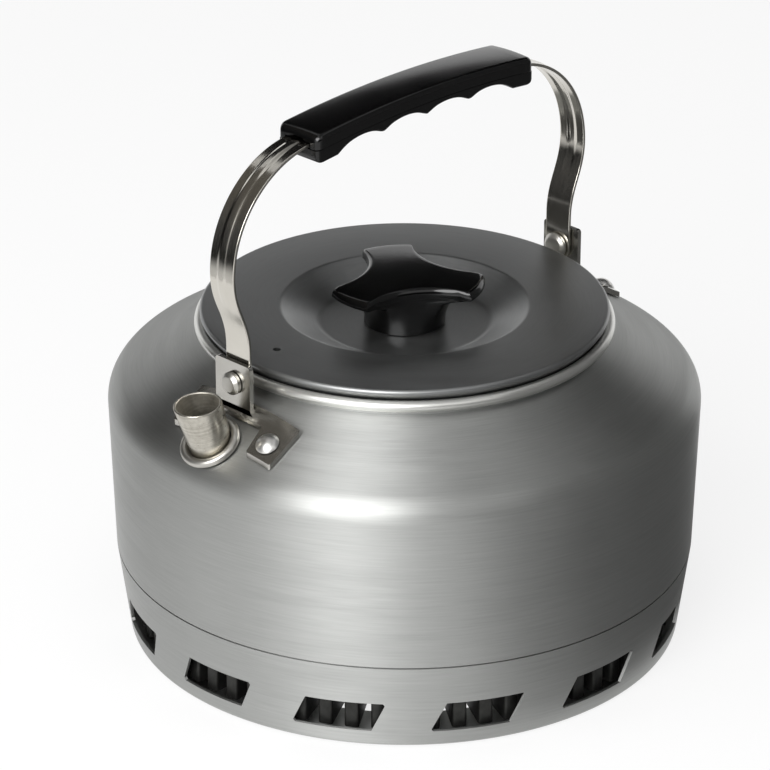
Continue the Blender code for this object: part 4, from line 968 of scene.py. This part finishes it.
grip_screw_head = (0.0023, 0.0013, 0.0006, 5)
seat_low = -lobe + grip_screw_head[1] + seat
grip_screw = screw_shape("grip_screw", point=cover_height - 0.0010, taper=0.0008, core=0.0012,
                         head_at=seat_low, head=grip_screw_head, steps=32, cross=0.0026, depth=0.0007)
bores = [Matrix.Translation((0.0, y, crown_height(y))) for y in (-0.0404, 0.0432)]
screws = fastened("grip_screws_set", grip_screw, bores, zinc)
bpy.data.objects.remove(grip_screw)
for place in bores:
    cut(base, drill(0.0026, -0.0070, seat_low + seat, 32, grip_black, place))
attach(screws, "bail")
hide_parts("grip_screw_front", "grip_screw_rear")


# Lid: a spun aluminium disc, hard anodised darker than the vessel. Its rim is hemmed
# back on itself, a skirt under it plugs the mouth, its middle is dished for the knob,
# and one small steam hole is drilled near the rim.

# The same brushing, fainter, under a darker and smoother anodised skin
lid_skin = brushed_round("dark_anodised_lid", "#8a8b8b", "#929393", roughness=0.38,
                         line_width=0.0005, anisotropic=0.25, groove=0.08)
lid_top, lid_wall, dish_floor = 0.1051, 0.0010, 0.0994
screw_bore, dish_low_radius, dish_radius, rim_radius, rim_roll = 0.0017, 0.0262, 0.0378, 0.0612, 0.0011
dish = rounded([(screw_bore, dish_floor), (dish_low_radius, dish_floor), (dish_radius, lid_top),
                (rim_radius, lid_top)], [0, 0.0050, 0.0026, 0], 12)
rim = arc((rim_radius, lid_top - rim_roll), rim_roll, 90, -20, 10)
plug, plug_low, seat_height = 0.0600, 0.09495, 0.10215
plug_fold, plug_edge = 0.0012, 0.0003
under = inset(dish, lid_wall)
under[0] = (screw_bore, dish_floor - lid_wall)
under[-1] = (plug - lid_wall - plug_fold, lid_top - lid_wall)
lid_outline = dish[:-1] + rim + [(rim_radius, seat_height), (plug + 0.0004, seat_height)]
lid_outline += [(plug, seat_height - 0.0006), (plug, plug_low + plug_edge), (plug - plug_edge, plug_low),
                (plug - lid_wall + plug_edge, plug_low), (plug - lid_wall, plug_low + plug_edge)]
lid_outline += [(plug - lid_wall, lid_top - lid_wall - plug_fold)] + under[::-1]
lid = turned("lid_spun", lid_outline, 224, lid_skin, closed=True)
vent_place = Matrix.Translation((-0.0038, -0.0505, 0.0))
cut(lid, drill(0.0012, 0.101, 0.107, 40, lid_skin, vent_place))
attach(lid, "lid_assembly")
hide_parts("lid")


# Knob: one glossy black moulding, a round foot that swells into three broad lobes with
# a slightly domed top. The lobes overhang the dish, so that fingertips fit under them.

# Pressed phenolic takes a harder gloss than the grip's plastic, with a wider orange peel
knob_black = moulded("glossy_black_phenolic", "#020202", roughness=0.12, grain_size=0.0016,
                     depth=0.00002)
knob_tip, knob_half, knob_waist, knob_turn = 0.0243, 0.0081, 0.0127, math.radians(-2)
foot_round, foot, knob_top, knob_dome = 0.0124, dish_floor + seat, dish_floor + 0.0159, 0.0009
lobe_low, roll, flare, lower_edge = knob_top - knob_dome - 0.0030, 0.0022, 0.0020, 0.0005
stem, stem_half, stem_waist = 0.0162, 0.0073, 0.0122
sector, around_count = math.tau / 3, 216


def lobed(turn, tip, half_width, waist):
    """Radius of the three-lobed outline; its first lobe points at turn 0."""
    from_tip = abs((turn + sector / 2) % sector - sector / 2)
    across = sector / 2 - math.asin(half_width / tip)
    rise = tip * math.cos(across) - waist
    bend = ((tip * math.sin(across)) ** 2 + rise ** 2) / (2 * rise)
    middle, back = waist + bend, sector / 2 - from_tip
    inside = bend ** 2 - (middle * math.sin(back)) ** 2
    hollow = middle * math.cos(back) - math.sqrt(inside) if inside > 0 else 1.0
    # A smooth minimum rounds the corners between the tips and the hollow sides
    soft = 0.0010
    mix = max(soft - abs(tip - hollow), 0.0) / soft
    return min(tip, hollow) - mix * mix * soft / 4


def knob_ring(height, tip, half_width, waist, dome=0.0):
    """One closed ring of the knob."""
    points = []
    for i in range(around_count):
        radius = lobed(math.tau * i / around_count, tip, half_width, waist)
        turn = math.tau * i / around_count + knob_turn
        z = height - dome * (radius / knob_tip) ** 2
        points.append((radius * math.sin(turn), -radius * math.cos(turn), z))
    return points


rings = []
spread = knob_ring(0.0, stem, stem_half, stem_waist)
for i in range(11):
    share = i / 10
    ring = []
    for x, y, z in spread:
        radius = math.hypot(x, y)
        scale = (foot_round + (radius - foot_round) * share ** 2.2) / radius
        ring.append((x * scale, y * scale, foot + (lobe_low - flare - foot) * share))
    rings.append(ring)
for share in (0.12, 0.3, 0.5, 0.72, 0.92):
    rings.append(knob_ring(lobe_low - flare * (1 - share) ** 1.6,
                           stem + (knob_tip - 0.0006 - stem) * share,
                           stem_half + (knob_half - 0.0003 - stem_half) * share,
                           stem_waist + (knob_waist - 0.0003 - stem_waist) * share))
for angle in (-60, -30, 0):
    reach = lower_edge * (1 - math.cos(math.radians(angle)))
    rings.append(knob_ring(lobe_low + 0.0006 + lower_edge * math.sin(math.radians(angle)),
                           knob_tip - reach, knob_half, knob_waist - reach * 0.4))
for angle in range(0, 91, 10):
    reach = roll * (1 - math.cos(math.radians(angle)))
    rings.append(knob_ring(knob_top - roll * (1 - math.sin(math.radians(angle))), knob_tip - reach,
                           knob_half - reach * 0.3, knob_waist - reach * 0.8, knob_dome))
for share in (0.92, 0.8, 0.68, 0.55, 0.42, 0.3, 0.18, 0.08):
    rings.append(knob_ring(knob_top, (knob_tip - roll) * share, (knob_half - roll * 0.3) * share,
                           (knob_waist - roll * 0.8) * share, knob_dome))
knob = skin("lid_knob_moulded", rings, knob_black)
cut(knob, drill(screw_bore, dish_floor - 0.001, dish_floor + 0.0100, 32, knob_black))
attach(knob, "lid_assembly")
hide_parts("lid_knob")


# Knob screw and washer: a zinc-plated tapping screw from under the lid, on a flat
# washer that spreads its load over the thin sheet.

under_dish, washer_radius, washer_sheet = dish_floor - lid_wall, 0.0050, 0.0008
washer_top, washer_low = under_dish - seat, under_dish - seat - washer_sheet
washer_outline = rounded([(screw_bore, washer_top), (washer_radius, washer_top),
                          (washer_radius, washer_low), (screw_bore, washer_low)],
                         [0, 0.0002, 0.0002, 0], 3)
washer = turned("knob_washer_flat", washer_outline, 64, zinc, closed=True)
screw_head = under_dish - 2 * seat - washer_sheet
knob_screw = screw_shape("knob_screw_pan", point=dish_floor + 0.0090, taper=0.0012, core=0.0014,
                         head_at=screw_head, head=(0.0032, 0.0018, 0.0010, 6), steps=48, cross=0.0034,
                         depth=0.0010)
for part, cad in ((washer, "knob_washer"), (knob_screw, "knob_screw")):
    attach(part, "lid_assembly")
    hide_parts(cad)


# Studio: a plain pale floor that keeps the shadow, a white background, one large soft
# light from the front left, two weaker ones, and cloth flags that only the
# reflections see, as round a kettle in a photographer's tent. Some flags carry painted
# light and shade in runs of greys.

floor_mesh = bpy.data.meshes.new("studio_floor")
bm = bmesh.new()
bmesh.ops.create_grid(bm, x_segments=1, y_segments=1, size=3.0)
bm.to_mesh(floor_mesh)
bm.free()
floor = added("studio_floor", floor_mesh)
floor.location.z = -0.0002


def seen_directly(tree):
    """1 for rays from the camera, off a glossy surface or through a clear one, and else 0."""
    rays = node(tree, "ShaderNodeLightPath")
    share = rays.outputs["Is Camera Ray"]
    for kind in ("Is Glossy Ray", "Is Transmission Ray"):
        share = node(tree, "ShaderNodeMath", (share, rays.outputs[kind]), operation="MAXIMUM")
        share = share.outputs[0]
    return share


paper, tree, shader = surface("pale_studio_floor")[:3]
shader.inputs["Base Color"].default_value = linear("#f2f2f2")
shader.inputs["Roughness"].default_value = 0.9
# The paper glows to the camera and in reflections, so it reads as white, and lights nothing
glow = node(tree, "ShaderNodeEmission", {"Color": (1.0, 1.0, 1.0, 1.0), "Strength": 1.0})
share = node(tree, "ShaderNodeMath", (seen_directly(tree), 0.78), operation="MULTIPLY")
mixed = node(tree, "ShaderNodeMixShader", (share, shader.outputs[0], glow))
tree.links.new(mixed.outputs[0], tree.nodes["Material Output"].inputs["Surface"])
paper.cycles.emission_sampling = "NONE"
floor_mesh.materials.append(paper)


def cloth(name, dark, light):
    """Matt woven cloth of a studio flag."""
    material, tree, shader, place = surface(name)
    weave = node(tree, "ShaderNodeTexNoise", {"Vector": place, "Scale": 6.0})
    coat(tree, shader, weave, dark, light, {"Roughness": 1.0, "Specular IOR Level": 0.0})
    return material


def flag(name, corners, material):
    """A studio flag that only reflections see."""
    mesh = bpy.data.meshes.new(name)
    mesh.from_pydata(corners, [], [tuple(range(len(corners)))])
    mesh.materials.append(material)
    obj = added(name, mesh)
    obj.visible_camera = obj.visible_diffuse = obj.visible_shadow = False


def polar(azimuth, distance, height):
    """A place by azimuth from the -Y side towards +X."""
    a = math.radians(azimuth)
    return (math.sin(a) * distance, -math.cos(a) * distance, height)


def upright(first, last, distance, low, high):
    """Corners of an upright flag between two azimuths."""
    return [polar(first, distance, low), polar(last, distance, low),
            polar(last, distance, high), polar(first, distance, high)]


black_cloth = cloth("black_cloth", "#161616", "#2c2c2c")
grey_cloth = cloth("grey_cloth", "#666666", "#727272")


def cloth_with_painted_shade(name, turn, axis, stops):
    """Matt cloth with painted light and shade in a soft run of greys along an axis or the azimuth, after a
    turn about Z.
    """
    material, tree, shader, place = surface(name)
    local = node(tree, "ShaderNodeMapping",
                 {"Vector": place, "Rotation": (0.0, 0.0, turn)}, vector_type="TEXTURE")
    parts = node(tree, "ShaderNodeSeparateXYZ", {0: local}).outputs
    if axis == "around":
        back = node(tree, "ShaderNodeMath", (parts[1], -1.0), operation="MULTIPLY")
        along = node(tree, "ShaderNodeMath", (parts[0], back), operation="ARCTAN2")
    else:
        along = parts[axis]
    first, last = stops[0][0], stops[-1][0]
    run = node(tree, "ShaderNodeMapRange", {"Value": along, "From Min": first, "From Max": last})
    ramp = node(tree, "ShaderNodeValToRGB", {0: run})
    points = ramp.color_ramp.elements
    while len(points) < len(stops):
        points.new(0.5)
    for i, (stop, colour) in enumerate(stops):
        points[i].position = (stop - first) / (last - first)
        points[i].color = linear(colour)
    tree.links.new(ramp.outputs["Color"], shader.inputs["Base Color"])
    shader.inputs["Roughness"].default_value = 1.0
    shader.inputs["Specular IOR Level"].default_value = 0.0
    return material


view_azimuth = 44.25
view_turn = math.radians(view_azimuth)
# These runs of greys are painted light and shade that the reflections see: pale where light would fall,
# dark between
left_cloth = cloth_with_painted_shade("left_cloth_painted_light_and_shade", 0.0, 2, [
    (0.0, "#f0f0f0"), (0.04, "#f0f0f0"), (0.09, "#242424"), (0.21, "#242424"), (0.42, "#75716b")])
ceiling_cloth = cloth_with_painted_shade("ceiling_cloth_painted_light_and_shade", view_turn, 0, [
    (-1.4, "#f0f0f0"), (-0.35, "#eaeaea"), (-0.05, "#949494"), (0.30, "#8c8c8c"), (0.6, "#e4e4e4")])
# The floor flag darkens towards the right: a painted shadow of the kettle, seen only in reflections
floor_cloth = cloth_with_painted_shade("floor_cloth_painted_shadow", 0.0, "around", [
    (math.radians(58), "#f2f2f2"), (math.radians(76), "#b4b4b4"), (math.radians(100), "#7e7e7e"),
    (math.radians(130), "#6c6c6c")])

camera_turn = Matrix.Rotation(view_turn, 4, "Z")
for name, spots, material in (
        ("flag_ceiling_rear", ((-1.6, 1.1), (-0.25, 0.65), (1.6, 0.65), (1.6, 3.0), (-1.6, 3.0)),
         black_cloth),
        ("flag_ceiling_front", ((-1.6, -0.9), (1.6, -0.9), (1.6, 0.65), (-0.25, 0.65), (-1.6, 1.1)),
         ceiling_cloth)):
    flag(name, [camera_turn @ Vector((right, back, 1.15)) for right, back in spots], material)
flag("flag_front", upright(36, 95, 1.0, 0.0, 0.40), black_cloth)
flag("flag_left", upright(-80, -5, 0.42, 0.0, 1.0), left_cloth)
flag("flag_right", upright(95, 175, 0.9, 0.0, 1.0), grey_cloth)
# Lies on the floor up to the skirt, so the painted shadow reaches the kettle's foot
flag("flag_floor_right", [polar(a, 0.9, 0.0004) for a in range(55, 176, 15)]
     + [polar(a, 0.093, 0.0004) for a in range(175, 54, -15)], floor_cloth)

world = bpy.data.worlds.new("studio")
bpy.context.scene.world = world
world.use_nodes = True
world.cycles.sampling_method = "NONE"
tree = world.node_tree
# The backdrop is white where it is seen, and lights the kettle at less than half of that
strength = node(tree, "ShaderNodeMapRange", {"Value": seen_directly(tree), "To Min": 0.45, "To Max": 1.0})
background = tree.nodes["Background"]
background.inputs["Color"].default_value = (1.0, 1.0, 1.0, 1.0)
tree.links.new(strength.outputs[0], background.inputs["Strength"])

aim_left, aim_height = 0.00598, 0.0774
target = Vector((-math.cos(view_turn) * aim_left, -math.sin(view_turn) * aim_left, aim_height))


def around(azimuth, elevation, distance):
    """A point round the object, by azimuth from the -Y side towards +X."""
    a, e = math.radians(azimuth), math.radians(elevation)
    return target + Vector((math.sin(a) * math.cos(e), -math.cos(a) * math.cos(e), math.sin(e))) * distance


for name, azimuth, elevation, distance, size, power in (
        ("key_softbox", 22.5, 31.0, 1.6, 1.15, 22.5),
        ("left_softbox", -30.0, 22.0, 1.6, 1.0, 5.0),
        ("top_softbox", 60.0, 82.0, 1.5, 0.9, 4.5)):
    lamp = bpy.data.lights.new(name, "AREA")
    lamp.shape = "DISK"
    lamp.size = size
    lamp.energy = power
    holder = added(name, lamp)
    holder.location = around(azimuth, elevation, distance)
    holder.rotation_euler = (target - holder.location).to_track_quat("-Z", "Y").to_euler()


# Camera: at the photograph's viewing angle, a little above the kettle and to the right
# of its spout.

lens = bpy.data.cameras.new("camera")
lens.lens = 183.0
lens.sensor_width = 36.0
lens.clip_start = 0.01
camera = added("camera", lens)
camera.location = around(view_azimuth, 25.5, 1.2)
camera.rotation_euler = (target - camera.location).to_track_quat("-Z", "Y").to_euler()
bpy.context.scene.camera = camera
bpy.context.scene.view_settings.view_transform = "Standard"
